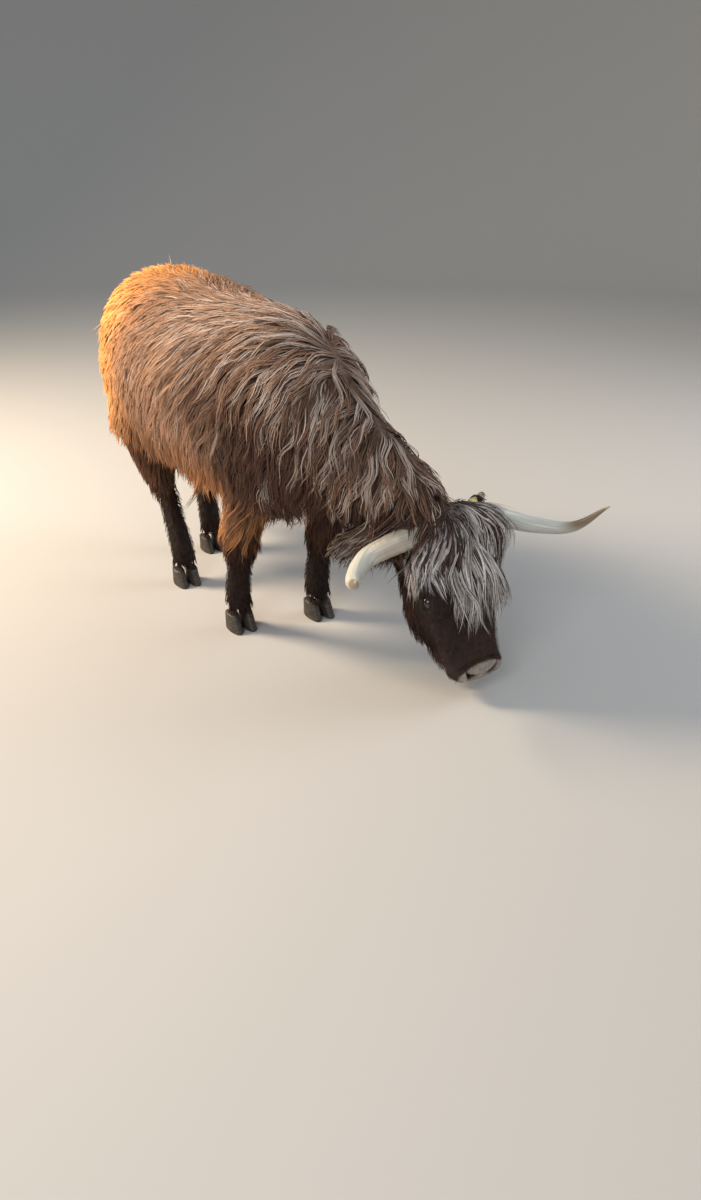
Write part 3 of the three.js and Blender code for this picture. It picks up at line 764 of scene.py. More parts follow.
def toned_paint(material, shader, vector, noise_inputs, noise_range, tones):
    """The base colour of a material: the colour painted on its mesh times a tone, which goes from the first of tones
    to the second as noise over a vector goes through its range. Returns the noise's output."""
    paint = add_node(material, "Attribute", attribute_name="coat_colour")
    noise = add_node(material, "TexNoise", noise_inputs)
    limits = {"From Min": noise_range[0], "From Max": noise_range[1], "To Min": tones[0], "To Max": tones[1]}
    tone = add_node(material, "MapRange", limits)
    scaled = add_node(material, "VectorMath", operation="SCALE")
    wire(material, (vector, noise.inputs["Vector"]), (noise.outputs["Fac"], tone.inputs["Value"]))
    wire(material, (paint.outputs["Color"], scaled.inputs[0]), (tone.outputs["Result"], scaled.inputs["Scale"]))
    wire(material, (scaled.outputs["Vector"], shader.inputs["Base Color"]))
    return noise.outputs["Fac"]


def relief(material, shader, height, strength, distance):
    """Bumps on a material where the output "height" is high."""
    bump = add_node(material, "Bump", {"Strength": strength, "Distance": distance})
    wire(material, (height, bump.inputs["Height"]), (bump.outputs["Normal"], shader.inputs["Normal"]))


# Hide: the painted colour with fine mottling, a grain of short hair, and a moist pebbled surface on the bare nose
skin_look, skin_shader = principled("skin_hide", {"Specular IOR Level": 0.4})
skin_place = add_node(skin_look, "TexCoord").outputs["Object"]
skin_mottle = {"Scale": 60, "Detail": 6}
toned_paint(skin_look, skin_shader, skin_place, skin_mottle, noise_range=(0.3, 0.7), tones=(0.7, 1.25))
bare_share = add_node(skin_look, "Attribute", attribute_name="bare").outputs["Fac"]
gloss = add_node(skin_look, "MapRange", {"To Min": 0.75, "To Max": 0.36})
pebbles = add_node(skin_look, "TexVoronoi", {"Scale": 260})
grain = add_node(skin_look, "TexNoise", {"Scale": 240})
height = add_node(skin_look, "Mix")
wire(skin_look, (bare_share, gloss.inputs["Value"]), (gloss.outputs["Result"], skin_shader.inputs["Roughness"]))
wire(skin_look, (skin_place, pebbles.inputs["Vector"]), (skin_place, grain.inputs["Vector"]))
wire(skin_look, (bare_share, height.inputs["Factor"]))
wire(skin_look, (grain.outputs["Fac"], height.inputs[2]), (pebbles.outputs["Distance"], height.inputs[3]))
relief(skin_look, skin_shader, height.outputs[0], strength=0.5, distance=0.002)

skin = object_of("skin", mesh_of("skin", skin_vertices, skin_triangles), skin_look)
painted(skin.data, skin_colour)
bare = skin.data.attributes.new("bare", "FLOAT", "POINT")
bare.data.foreach_set("value", np.maximum(on_nose, lips * 0.7).astype(np.float32))
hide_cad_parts("trunk", "neck", "head", "jaw", "ear_left", "ear_right", *LEG_NAMES, "tail", "udder")
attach(skin, "root")

# ---------------------------------------------------------------- eyes
# Dark brown balls with the long level pupil of cattle, wet and glossy. Each is a full ball set behind its lids.


def eye_surface(way):
    """A ball round the eye's middle with its pole on the outward axis: rings of equal angle from that axis. Also
    gives the place of each vertex across the slit, along and upward."""
    outward, along, upward = eye_frame(way)
    polar = np.linspace(0, math.pi, 42)[1:-1, None]
    turn = np.linspace(0, 2 * math.pi, 56, endpoint=False)[None]
    x, y = np.sin(polar) * np.cos(turn), np.sin(polar) * np.sin(turn)
    z = np.cos(polar) + 0 * turn
    spot = (x[..., None] * along + y[..., None] * upward + z[..., None] * outward) * (EYE_RADIUS - 0.0003)
    poles = [eye_place(way) + outward * EYE_RADIUS, eye_place(way) - outward * EYE_RADIUS]
    vertices, triangles = closed_rings(spot + eye_place(way), poles)
    across = np.concatenate([[0], x.ravel(), [0]]), np.concatenate([[0], y.ravel(), [0]])
    return vertices, outward_faces(vertices - eye_place(way), triangles), across


IRIS_BROWN = np.array((0.045, 0.020, 0.010))
EYE_WHITE = np.array((0.11, 0.075, 0.06))
IRIS_EDGE, PUPIL_HALF = 0.66, (0.36, 0.17)  # as shares of the ball's radius; the pupil is twice as long as high
eye_look, eye_shader = principled("eye_wet", {"Roughness": 0.06, "Coat Weight": 0.6, "Coat Roughness": 0.03})
eye_paint = add_node(eye_look, "Attribute", attribute_name="coat_colour")
wire(eye_look, (eye_paint.outputs["Color"], eye_shader.inputs["Base Color"]))

for side, way in (("left", 1), ("right", -1)):
    vertices, triangles, (x, y) = eye_surface(way)
    from_middle = np.sqrt(x**2 + y**2)
    colours = blend(np.tile(IRIS_BROWN, (len(x), 1)), EYE_WHITE, ramp(from_middle, IRIS_EDGE, 0.78))
    rays = 0.8 + 0.4 * np.sin(np.arctan2(y, x) * 36) ** 2
    colours = np.where((from_middle < IRIS_EDGE)[:, None], colours * rays[:, None], colours)
    pupil = np.sqrt((x / PUPIL_HALF[0]) ** 2 + (y / PUPIL_HALF[1]) ** 2)
    colours = blend(np.full_like(colours, 0.002), colours, ramp(pupil, 0.92, 1.08))
    eye = object_of("eyeball_" + side, mesh_of("eyeball_" + side, from_head(vertices), triangles), eye_look)
    painted(eye.data, colours)
    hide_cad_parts("eye_" + side)
    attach(eye, "root")

# ---------------------------------------------------------------- horns
# Hollow cones of horn over a bony core, cream and a little translucent, rough and ringed where they leave the hair,
# smooth beyond, and brown near the tip. Each sweeps out, forward and up.
HORN_RADIUS = 0.036
HORN_LINE = ((40, -8, -40, 1.0), (155, -12, -45, 1.0), (257, -39, -100, 0.86))  # in mm, with the share of the radius
HORN_ENDS = {  # the right horn is the shorter one and dips less
    1: ((349, -90, -51, 0.72), (414, -118, 54, 0.48), (468, -76, 167, 0.10)),
    -1: ((345, -78, -51, 0.70), (401, -84, 44, 0.45), (438, -66, 124, 0.12)),
}


def horn_surface(way, count=150, sides=44):
    """A tapering tube, with each vertex's share of the length, its angle round the horn, and how far it swells as a
    share of the radius: rings are waves along the horn that die out half way up, flutes are faint waves round it."""
    line = (*HORN_LINE, *HORN_ENDS[way])
    rows = np.array([(way * x, y, z, 1000 * r * HORN_RADIUS) for x, y, z, r in line]) / 1000
    stations = np.concatenate([rows, rows[:, 3:], rows[:, 3:]], 1)
    vertices, triangles = tube(stations, count, sides, across=(0, -1, 0), ends=(0.01, 0.006), end_rings=4)
    rings = (len(vertices) - 2) // sides
    share = np.concatenate([[0], np.repeat(np.linspace(0, 1, rings), sides), [1]])
    turn = np.concatenate([[0], np.tile(np.arange(sides) / sides * 2 * math.pi, rings), [0]])
    fade = ramp(share, 0.52, 0.16)
    rings_wave = 0.022 * fade * np.sin(share * 190 + 0.7 * np.sin(turn * 2) + 2 * np.sin(share * 37))
    flutes = 0.010 * np.sin(turn * 9 + share * 5) * ramp(share, 0.9, 0.4)
    return vertices, triangles, share, turn, rings_wave + flutes


def along_lie(material, stretch):
    """The place on the map "lie", whose first coordinate runs round a horn or a strand and whose second one runs
    along it, stretched so that noise over it makes streaks."""
    lie = add_node(material, "UVMap", uv_map="lie")
    mapping = add_node(material, "Mapping", {"Scale": stretch})
    wire(material, (lie.outputs["UV"], mapping.inputs["Vector"]))
    return mapping.outputs["Vector"]


def give_map(mesh, name, pairs):
    """A UV map from one pair for each vertex."""
    corners = np.empty(len(mesh.loops), np.int32)
    mesh.loops.foreach_get("vertex_index", corners)
    layer = mesh.uv_layers.new(name=name)
    layer.data.foreach_set("uv", pairs[corners].astype(np.float32).ravel())


HORN_CREAM = np.array((0.66, 0.67, 0.61))
HORN_BASE = np.array((0.50, 0.45, 0.37))
HORN_BROWN = np.array((0.20, 0.125, 0.065))
HORN_TIP = np.array((0.56, 0.47, 0.33))
# Horn: the painted colour with long streaks, small scratches and a waxy gloss
horn_look, horn_shader = principled("horn_keratin", {
    "Roughness": 0.38, "Coat Weight": 0.12, "Coat Roughness": 0.35,
    "Subsurface Weight": 0.12, "Subsurface Radius": (0.012, 0.008, 0.005),
})
streaks = along_lie(horn_look, (26, 2.4, 1))
horn_noise = {"Scale": 1.5, "Detail": 8}
scratches = toned_paint(horn_look, horn_shader, streaks, horn_noise, noise_range=(0.35, 0.65), tones=(0.80, 1.08))
relief(horn_look, horn_shader, scratches, strength=0.25, distance=0.001)

for side, way in (("left", 1), ("right", -1)):
    vertices, triangles, share, turn, swell = horn_surface(way)
    triangles = outward_faces(vertices - vertices.mean(0), triangles)
    vertices = vertices + vertex_normals(vertices, triangles) * (swell * HORN_RADIUS)[:, None]
    colours = blend(np.tile(HORN_BASE, (len(share), 1)), HORN_CREAM, ramp(share, 0.28, 0.45))
    under = 0.5 - 0.5 * np.sin(turn + 0.6)
    colours = blend(colours, HORN_BROWN, ramp(share + 0.10 * under, 0.80, 0.93) * (0.55 + 0.4 * under))
    colours = blend(colours, HORN_TIP, ramp(share, 0.955, 0.985))
    name = "horn_sheath_" + side
    horn = object_of(name, mesh_of(name, from_head(vertices), triangles), horn_look)
    painted(horn.data, colours)
    give_map(horn.data, "lie", np.stack([turn / (2 * math.pi), share], -1))
    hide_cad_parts("horn_" + side)
    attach(horn, "root")

# ---------------------------------------------------------------- hooves
# Each foot has two claws of dark horn. A claw is flat below, nearly straight on its inner side, rounded at the toe,
# with growth rings that run level round the wall.
CLAW_LENGTH, CLAW_HALF, CLAW_HEIGHT, CLAW_TOE, CLAW_LEAN = 0.112, 0.023, 0.062, 0.58, 0.016
CLAW_INNER = 0.8  # how far the inner wall is from the claw's middle, as a share of the outer wall's distance
CLAW_CLOSER = 1.06  # the same where the pad swells towards the other claw


def claw_surface(outer, rows=26, sides=48):
    """A claw round its own middle, with its outer wall at +X for outer 1 and at -X for -1. At height h (0 to 1) the
    wall is an oval with 36 % less length and 14 % less width at the top, set back with the height, and its rim below
    is rounded off."""
    rise = np.linspace(0, 1, rows)[:, None]
    a = np.linspace(0, 2 * math.pi, sides, endpoint=False)[None]
    foot = np.minimum(1, 0.93 + 0.07 * np.sqrt(np.clip(rise / 0.06, 0, 1)))
    rings = 1 + 0.008 * np.sin(rise * 42 + 0.5 * np.cos(a)) * ramp(rise, 0.05, 0.2)
    crown = 1 - 0.35 * np.clip((rise - 0.93) / 0.07, 0, 1) ** 2
    wide = CLAW_HALF * np.where(np.cos(a) > 0, 1, CLAW_CLOSER) * (1 - 0.14 * rise) * foot * rings * crown
    long = CLAW_LENGTH * np.where(np.sin(a) > 0, 1 - CLAW_TOE, CLAW_TOE) * (1 - 0.36 * rise) * foot * rings * crown
    x = outer * np.sign(np.cos(a)) * np.abs(np.cos(a)) ** 0.9 * wide
    y = np.sin(a) * long + CLAW_LEAN * rise
    z = CLAW_HEIGHT * rise + 0 * a
    poles = [np.zeros(3), np.array((0, CLAW_LEAN, CLAW_HEIGHT))]
    vertices, triangles = closed_rings(np.stack([x, y, z], -1), poles)
    return vertices, outward_faces(vertices - np.array((0, 0, CLAW_HEIGHT / 2)), triangles)


def mottled(material, shader, vector, noise_inputs, stops):
    """The base colour of a material: noise over a vector, coloured between two stops (noise, colour). Returns the
    noise's output."""
    noise = add_node(material, "TexNoise", noise_inputs)
    tone = add_node(material, "ValToRGB")
    for element, (position, colour) in zip(tone.color_ramp.elements, stops):
        element.position = position
        element.color = (*colour, 1)
    wire(material, (vector, noise.inputs["Vector"]), (noise.outputs["Fac"], tone.inputs["Fac"]))
    wire(material, (tone.outputs["Color"], shader.inputs["Base Color"]))
    return noise.outputs["Fac"]


# Dark horn with fine level rings, which come from noise that is squeezed upwards
hoof_look, hoof_shader = principled("hoof_horn", {"Roughness": 0.55})
hoof_place = add_node(hoof_look, "TexCoord").outputs["Object"]
hoof_stretch = add_node(hoof_look, "Mapping", {"Scale": (30, 30, 260)})
wire(hoof_look, (hoof_place, hoof_stretch.inputs["Vector"]))
hoof_stops = ((0.35, (0.016, 0.013, 0.011)), (0.7, (0.085, 0.065, 0.048)))
hoof_rings = mottled(hoof_look, hoof_shader, hoof_stretch.outputs["Vector"], {"Scale": 1.0, "Detail": 6}, hoof_stops)
relief(hoof_look, hoof_shader, hoof_rings, strength=0.5, distance=0.001)

for leg in LEG_NAMES:
    foot = leg.replace("leg", "hoof")
    boxes = {claw: [np.array(corner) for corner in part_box(foot + "_" + claw)] for claw in ("inner", "outer")}
    foot_middle = np.mean([(low + high) / 2 for low, high in boxes.values()], 0)[0]
    for claw, (low, high) in boxes.items():
        outer = 1 if (low[0] + high[0]) / 2 > foot_middle else -1
        reach = CLAW_HALF if outer > 0 else CLAW_HALF * CLAW_INNER
        middle = np.array((high[0] - reach, low[1] + CLAW_TOE * CLAW_LENGTH, 0))
        vertices, triangles = claw_surface(outer)
        name = foot.replace("hoof", "claw") + "_" + claw
        piece = object_of(name, mesh_of(name, vertices + middle, triangles), hoof_look)
        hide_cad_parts(foot + "_" + claw)
        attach(piece, "root")

# ---------------------------------------------------------------- the ear tag
# A blank tag of pale yellow plastic in the left ear: a thin moulded plate with round corners, held by a button.
TAG_LENGTH, TAG_WIDTH, TAG_THICK, TAG_TURN = 0.070, 0.036, 0.003, math.radians(32)
TAG_MIDDLE = np.array((0.207, 0.024, -0.156))


def rounded_slab(half_long, half_wide, layers, power, sides=72):
    """A flat closed slab with a squarish oval outline |x| ^ p + |y| ^ p = 1, built up from layers (share of the
    outline, height)."""
    a = np.linspace(0, 2 * math.pi, sides, endpoint=False)
    c, s = (np.sign(v) * np.abs(v) ** (2 / power) for v in (np.cos(a), np.sin(a)))
    rings = np.stack([np.stack([half_long * f * c, half_wide * f * s, 0 * a + h], -1) for f, h in layers])
    return closed_rings(rings, [np.array((0, 0, layers[0][1])), np.array((0, 0, layers[-1][1]))])


def tag_place(points):
    """Points of the flat tag in the row's frame: turned to lie on the ear, then moved there."""
    turned = np.array(Matrix.Rotation(TAG_TURN, 3, "Y"))
    return from_head(np.asarray(points) @ turned.T + TAG_MIDDLE)


EDGE = 0.0006
plate_layers = (
    (0.90, 0), (0.985, EDGE * 0.3), (1.0, EDGE), (1.0, TAG_THICK - EDGE), (0.985, TAG_THICK - EDGE * 0.3),
    (0.95, TAG_THICK), (0.86, TAG_THICK), (0.84, TAG_THICK - EDGE), (0.5, TAG_THICK - EDGE),
)
button_layers = (
    (1.0, 0.0018), (1.02, 0.0028), (1.0, 0.0044), (0.93, 0.0054), (0.6, 0.0056), (0.5, 0.0050), (0.2, 0.0050),
)
stud_layers = ((1.0, -0.020), (1.15, -0.017), (0.8, -0.014), (0.8, 0.003))
BUTTON_RADIUS, STUD_RADIUS = 0.0115, 0.0028
plate = rounded_slab(TAG_LENGTH / 2, TAG_WIDTH / 2, plate_layers, power=5.0)
button = rounded_slab(BUTTON_RADIUS, BUTTON_RADIUS, button_layers, power=2.0)
stud = rounded_slab(STUD_RADIUS, STUD_RADIUS, stud_layers, power=2.0)
tag_parts = [(v, outward_faces(v - v.mean(0), t)) for v, t in (plate, button, stud)]
tag_vertices, tag_triangles, _ = joined(tag_parts)
tag_look, tag_shader = principled("tag_plastic", {"Roughness": 0.42})
tag_spot = add_node(tag_look, "TexCoord").outputs["Object"]
tag_stops = ((0.32, (0.42, 0.36, 0.15)), (0.52, (0.80, 0.72, 0.26)))  # dirt, and clean plastic
mottled(tag_look, tag_shader, tag_spot, {"Scale": 45, "Detail": 7}, tag_stops)
tag = object_of("tag_plate", mesh_of("tag_plate", tag_place(tag_vertices), tag_triangles), tag_look)
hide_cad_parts("ear_tag")
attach(tag, "root")

# ---------------------------------------------------------------- how the coat grows
# The coat is thousands of tapered strands in locks. Each lock has a leading strand that leaves the hide, bends over
# and lies along the body at its own height in the coat, and the strands of the lock follow it and close up at the
# tip. A strand is a closed solid with a flat back and a ridge.
rng = np.random.default_rng(1884)
DOWN, BACK, TO_RIGHT = np.array((0, 0, -1.0)), np.array((0, 1.0, 0)), np.array((-1.0, 0, 0))
SIDE_WAY, MUZZLE_WAY, FRONT_WAY = HEAD_AXES[:, 0], -HEAD_AXES[:, 1], HEAD_AXES[:, 2]


def lie_of_coat(points, normals, part):
    """The way the hair points at places on the body: back along the topline and down the sides, where the mane of
    the withers and the crest is swept furthest back and falls to the right, down the legs and tail, towards the
    muzzle on the face, and out along the ears. It is turned into the surface."""
    forward, up = forward_of(points)[:, None], points[:, 2:]
    withers = np.exp(-(((forward - 0.92) / 0.34) ** 2)) * ramp(up, 0.70, 1.02)
    top = ramp(normals[:, 2:], 0.45, 0.9) * ramp(forward, 0.6, 0.9)
    swept = 0.42 + 0.30 * withers + 0.35 * ramp(forward, 0.4, 0.0)
    trunk = DOWN + BACK * swept + TO_RIGHT * top * 0.55
    neck = DOWN + BACK * (0.25 + 0.30 * ramp(up + 0.5 * forward, 1.15, 1.40)) + TO_RIGHT * top * 0.7
    leg = DOWN + BACK * 0.18
    tail = DOWN + BACK * 0.8 * ramp(up, 0.95, 1.08)
    here = to_head(points)
    aside = np.clip(here[:, :1] / 0.09, -1, 1)
    face = MUZZLE_WAY + SIDE_WAY * aside * 0.35 - FRONT_WAY * np.abs(aside) * 0.35
    face = np.where(here[:, 2:] < -0.13, MUZZLE_WAY * 0.7 + DOWN * 0.8, face)
    ear = (SIDE_WAY - MUZZLE_WAY * 0.1) * np.sign(here[:, :1]) - FRONT_WAY * 0.6
    ear = ear - MUZZLE_WAY * np.clip((here[:, 1:2] + 0.008) / 0.05, -1, 1) * 0.9 + DOWN * 0.35
    way = np.select(
        [(part == k)[:, None] for k in (TRUNK, NECK, LEG, TAIL, HEAD, EAR)],
        [trunk, neck, leg, tail, face, ear],
        DOWN + 0 * trunk,
    )
    return in_surface(way, normals)


def in_surface(way, normals):
    """Directions turned into the surface with these normals."""
    return unit(way - normals * dots(way, normals)[:, None])


corner_a, corner_b, corner_c = (skin_vertices[skin_triangles[:, k]] for k in range(3))
skin_faces_cross = np.cross(corner_b - corner_a, corner_c - corner_a)
skin_area = np.linalg.norm(skin_faces_cross, axis=1) / 2
skin_middle = (corner_a + corner_b + corner_c) / 3
skin_facing = unit(skin_faces_cross)
face_part = skin_part[skin_triangles[:, 0]]
ROOT_CELL = 0.04  # roots are dealt out over the hide in cubes of this size, in metres
face_cell = np.floor(skin_middle / ROOT_CELL).astype(int)
face_order = np.lexsort((face_cell[:, 2], face_cell[:, 1], face_cell[:, 0]))


def roots_on(weights, count):
    """Places spread evenly over the hide's triangles, each triangle drawn by its area times its weight: the places,
    the smoothed normals there and the parts of the body."""
    drawn = np.cumsum((skin_area * weights)[face_order])
    picks = (np.arange(count) + rng.random(count)) / count * drawn[-1]
    face = face_order[np.minimum(np.searchsorted(drawn, picks), len(drawn) - 1)]
    u, v = rng.random((2, count))
    u, v = np.where(u + v > 1, 1 - u, u), np.where(u + v > 1, 1 - v, v)
    share = np.stack([1 - u - v, u, v], 1)
    corners = skin_triangles[face]
    places = np.einsum("ij,ijk->ik", share, skin_vertices[corners])
    normals = unit(np.einsum("ij,ijk->ik", share, skin_normals[corners]))
    return places, normals, face_part[face]


resting = [mesh_arrays(bpy.data.objects["horn_sheath_" + side].data) for side in ("left", "right")]
resting += [mesh_arrays(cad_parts[name].data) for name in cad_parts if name.startswith("hoof_")]
rest_vertices, rest_triangles, _ = joined([(skin_vertices, skin_triangles), *resting])
rest_tree = tree_of(rest_vertices, rest_triangles)  # what hair can lie on

SHALLOWEST = 0.003  # the least height of the coat over the hide
FLOOR_GAP = 0.006  # the least height of hair over the floor


def reach_of(places):
    """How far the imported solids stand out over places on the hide: as deep as the coat may be there."""
    surface, _, _ = nearest_on(solids_tree, places)
    return np.linalg.norm(surface - places, axis=1)


def solids_depth(places):
    """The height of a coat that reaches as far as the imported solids."""
    return np.maximum(reach_of(places), SHALLOWEST)


def grown(places, normals, part, length, far, steps, rise, droop, stiff, lie):
    """Leading strands, grown step by step. A strand leaves the hide at a slope "rise", heads between the way it went
    (by "stiff") and the lie of the coat, sinks with its own weight (by "droop"), and is kept between the hide and its
    own height in the coat, which is up to "far". Returns the paths (n, steps + 1, 3) and the normals under them."""
    place, shell = places.copy(), normals.copy()
    heading = unit(lie(places, normals, part) + rise * normals)
    layer = far * (0.30 + 0.70 * rng.random(len(places)) ** 0.7)
    astray = rng.normal(0, 0.15, places.shape)
    paths, shells = [place.copy()], [shell.copy()]
    for k in range(steps):
        share = (k + 1) / steps
        place = place + heading * (length / steps)[:, None]
        under, over, _ = nearest_on(rest_tree, place)
        height = dots(place - under, over)
        low = np.minimum(0.004, 0.5 * layer) + 0.35 * layer * min(1, 2 * share)
        high = layer + ramp(over[:, 2], -0.15, -0.45)
        place = place + over * ((np.clip(height, low, high) - height) * 0.85)[:, None]
        place[:, 2] = np.maximum(place[:, 2], FLOOR_GAP)
        shell = unit(shell + over)
        flow = lie(place, shell, part) + astray
        heading = unit(heading * stiff + flow * (1 - stiff) + DOWN * droop * share)
        paths.append(place.copy())
        shells.append(shell.copy())
    path, shell = np.stack(paths, 1), np.stack(shells, 1)
    path[:, 1:-1] = 0.25 * path[:, :-2] + 0.5 * path[:, 1:-1] + 0.25 * path[:, 2:]
    return path, shell


def waved(path, shell, height, period, length):
    """Paths with a wave across the lie: height * s ^ 0.8 * (sin(2 pi s length / period + phase) - sin(phase)), for s
    from 0 at the root to 1 at the tip. The phase drifts slowly over the body, so that neighbouring locks wave
    together."""
    count, points = path.shape[:2]
    s = np.linspace(0, 1, points)[None]
    root = path[:, 0]
    phase = 5 * np.sin(root @ (5.0, 3.0, 4.0)) + rng.normal(0, 0.7, count)
    along = unit(np.gradient(path, axis=1))
    side = unit(np.cross(along, shell))
    swing = np.sin(2 * math.pi * s * (length / period)[:, None] + phase[:, None]) - np.sin(phase)[:, None]
    size = height * s**0.8 * rng.uniform(0.6, 1.25, (count, 1))
    return path + side * (size * swing)[..., None]


TURN_WEIGHT = 0.04  # how many metres a turned normal counts for when a strand looks for its lock
SHORTEST = 0.74  # the shortest strand of a lock, as a share of its leading strand
WILD_SHARE, WILD = 0.06, 2.5  # a few strands stray by this many times the spread of the others


def followed(path, shell, places, normals, closing, spread):
    """Strands that follow the leading strand nearest to their own root: they keep their distance from it at the
    root and close up to it by "closing" at the tip. Returns the paths, the normals, and the number of each
    strand's lock."""
    key = np.concatenate([places, normals * TURN_WEIGHT], 1)
    lead_key = np.concatenate([path[:, 0], shell[:, 0] * TURN_WEIGHT], 1)
    square = (lead_key**2).sum(1)[None] - 2 * key @ lead_key.T
    lock = np.argmin(square, 1)
    count, points = len(places), path.shape[1]
    s = np.linspace(0, 1, points)
    cut = rng.uniform(SHORTEST, 1.0, count)[:, None] * s[None] * (points - 1)
    low = np.minimum(cut.astype(int), points - 2)
    share = (cut - low)[..., None]
    lead = path[lock]
    rows = np.arange(count)[:, None]
    own = lead[rows, low] * (1 - share) + lead[rows, low + 1] * share
    offset = (places - path[lock, 0])[:, None] * (1 - closing * s**1.3)[None, :, None]
    stray = rng.normal(0, spread, (count, 1, 3)) * (s**1.5)[None, :, None]
    wild = rng.normal(0, spread * WILD, (count, 1, 3)) * (s**2)[None, :, None]
    stray += wild * (rng.random((count, 1, 1)) < WILD_SHARE)
    return own + offset + stray, shell[lock], lock


SOFT = 0.62  # how far the shading of a strand is that of the hide under it
PATCH = 0.003  # how wide a strand's patch is on the map OFBake


def strand_mesh(name, path, shell, width, colours, patches):
    """Closed tapered strands in one mesh. A ring has two corners at +-width across the lie and one ridge above. Each
    strand starts in the hide and ends in a point. patches are the places of the strands on the map OFBake."""
    count, points = path.shape[:2]
    rings = points - 1
    s = np.linspace(0, 1, points)[:-1]
    along = unit(np.gradient(path, axis=1))
    roll = rng.normal(0, 0.35, (count, 1, 1))
    side = unit(np.cross(along, shell))
    over = np.cross(side, along)
    side, over = side * np.cos(roll) + over * np.sin(roll), over * np.cos(roll) - side * np.sin(roll)
    taper = (0.75 + 0.25 * np.minimum(1, s * 5)) * (1 - s**2.4) ** 0.8
    half = (width[:, None] * taper)[..., None]
    middle, side, over = path[:, :-1], side[:, :-1], over[:, :-1]
    left, right, ridge = middle - side * half, middle + side * half, middle + over * half * 0.75
    ring = np.stack([left, ridge, right], 2).reshape(count, rings * 3, 3)
    vertices = np.concatenate([ring, path[:, -1:]], 1)
    per = rings * 3 + 1
    start = (np.arange(count) * per)[:, None, None]
    r, i = np.arange(rings - 1)[:, None] * 3, np.arange(3)[None]
    j = (i + 1) % 3
    quad = np.stack([r + j, r + 3 + j, r + 3 + i, r + i], -1).reshape(1, -1, 4)
    top = (rings - 1) * 3
    tip = np.stack([top + (np.arange(3) + 1) % 3, np.full(3, per - 1), top + np.arange(3)], -1)
    caps = np.concatenate([[[2, 1, 0]], tip])[None]
    quads, triangles = (start + quad).reshape(-1, 4), (start + caps).reshape(-1, 3)
    mesh = mesh_of(name, vertices.reshape(-1, 3), [quads, triangles])
    shade = unit(np.stack([over * 0.5 - side, over, over * 0.5 + side], 2))
    shade = shade * (1 - SOFT) + shell[:, :-1, None] * SOFT
    shade = np.concatenate([unit(shade).reshape(count, -1, 3), shell[:, -1:]], 1)
    mesh.normals_split_custom_set_from_vertices(shade.reshape(-1, 3).tolist())
    painted(mesh, colours.reshape(-1, 3))
    around, up_strand = np.append(np.tile((0, 0.5, 1.0), rings), 0.5), np.append(np.repeat(s, 3), 1.0)
    local = np.stack([around - 0.5, up_strand - 0.5], -1)[None]
    give_map(mesh, "OFBake", (patches[:, None] + local * PATCH).reshape(-1, 2))
    drift = rng.random((count, 1, 2)) * 40
    give_map(mesh, "lie", (drift + local * (1, 3)).reshape(-1, 2))
    return mesh


def line_of(*points):
    """A line through points (forward, left, up), in the row's frame."""
    forward, left, up = np.array(points).T
    return TAIL_HEAD + smooth_line(np.stack([left, -forward, up], -1), 80)


def foot_line(leg, forward, left):
    """A line up the middle of a leg, from its foot to a place inside the body."""
    low, high = (np.array(corner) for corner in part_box(leg.replace("leg", "hoof") + "_inner"))
    foot = (low + high) / 2 - TAIL_HEAD
    return line_of((-foot[1], foot[0], 0.05), (-foot[1], foot[0], 0.35), (forward, left, 0.75))


UNWRAP_LINES = {
    TRUNK: [line_of((-0.15, -0.05, 0.80), (0.6, -0.02, 0.75), (1.4, 0.03, 0.70))],
    NECK: [line_of((1.1, 0.0, 0.78), (1.35, 0.10, 0.66), (1.60, 0.28, 0.48))],
    LEG: [
        foot_line("leg_fore_right", 0.99, -0.15),
        foot_line("leg_fore_left", 1.05, 0.15),
        foot_line("leg_hind_right", 0.30, -0.19),
        foot_line("leg_hind_left", 0.15, 0.08),
    ],
    TAIL: [line_of((0.05, -0.05, 1.10), (-0.15, -0.05, 0.98), (-0.17, -0.05, 0.60))],
    HEAD: [from_head(np.linspace((0, 0.05, -0.1), (0, -0.52, -0.08), 80))],
    EAR: [from_head(np.linspace((way * 0.08, -0.03, -0.10), (way * 0.30, 0, -0.24), 80)) for way in (1, -1)],
}
UNWRAP_MARGIN = 0.02  # of a column of the unwrap, on each side


def unwrapped(places, part):
    """Where places on the hide lie on its unwrap: how far they are along the nearest line of their part, and their
    angle round it. Each line has a column of the unit square."""
    kinds = sorted(set(part.tolist()) & set(UNWRAP_LINES))
    lines = [(kind, line) for kind in kinds for line in UNWRAP_LINES[kind]]
    inner = 1 - 2 * UNWRAP_MARGIN
    best = np.full(len(places), np.inf)
    result = np.zeros((len(places), 2))
    for column, (kind, line) in enumerate(lines):
        apart = np.linalg.norm(places[:, None] - line[None], axis=2)
        step = np.argmin(apart, 1)
        distance = np.where(part == kind, apart[np.arange(len(places)), step], np.inf)
        along = unit(np.gradient(line, axis=0))[step]
        from_line = places - line[step]
        beyond = dots(from_line, along) / np.linalg.norm(line[1] - line[0])
        side = unit(np.cross(along, np.where(np.abs(along[:, 2:]) > 0.8, BACK, DOWN)))
        up = np.cross(side, along)
        turn = np.arctan2(dots(from_line, up), dots(from_line, side))
        u = (column + UNWRAP_MARGIN + inner * (turn / (2 * math.pi) + 0.5)) / len(lines)
        travelled = (step + np.clip(beyond, -20, 20)) / (len(line) - 1)
        v = UNWRAP_MARGIN + inner * np.clip(travelled * 0.8 + 0.1, 0, 1)
        closer = distance < best
        result[closer] = np.stack([u, v], -1)[closer]
        best = np.minimum(best, distance)
    return result


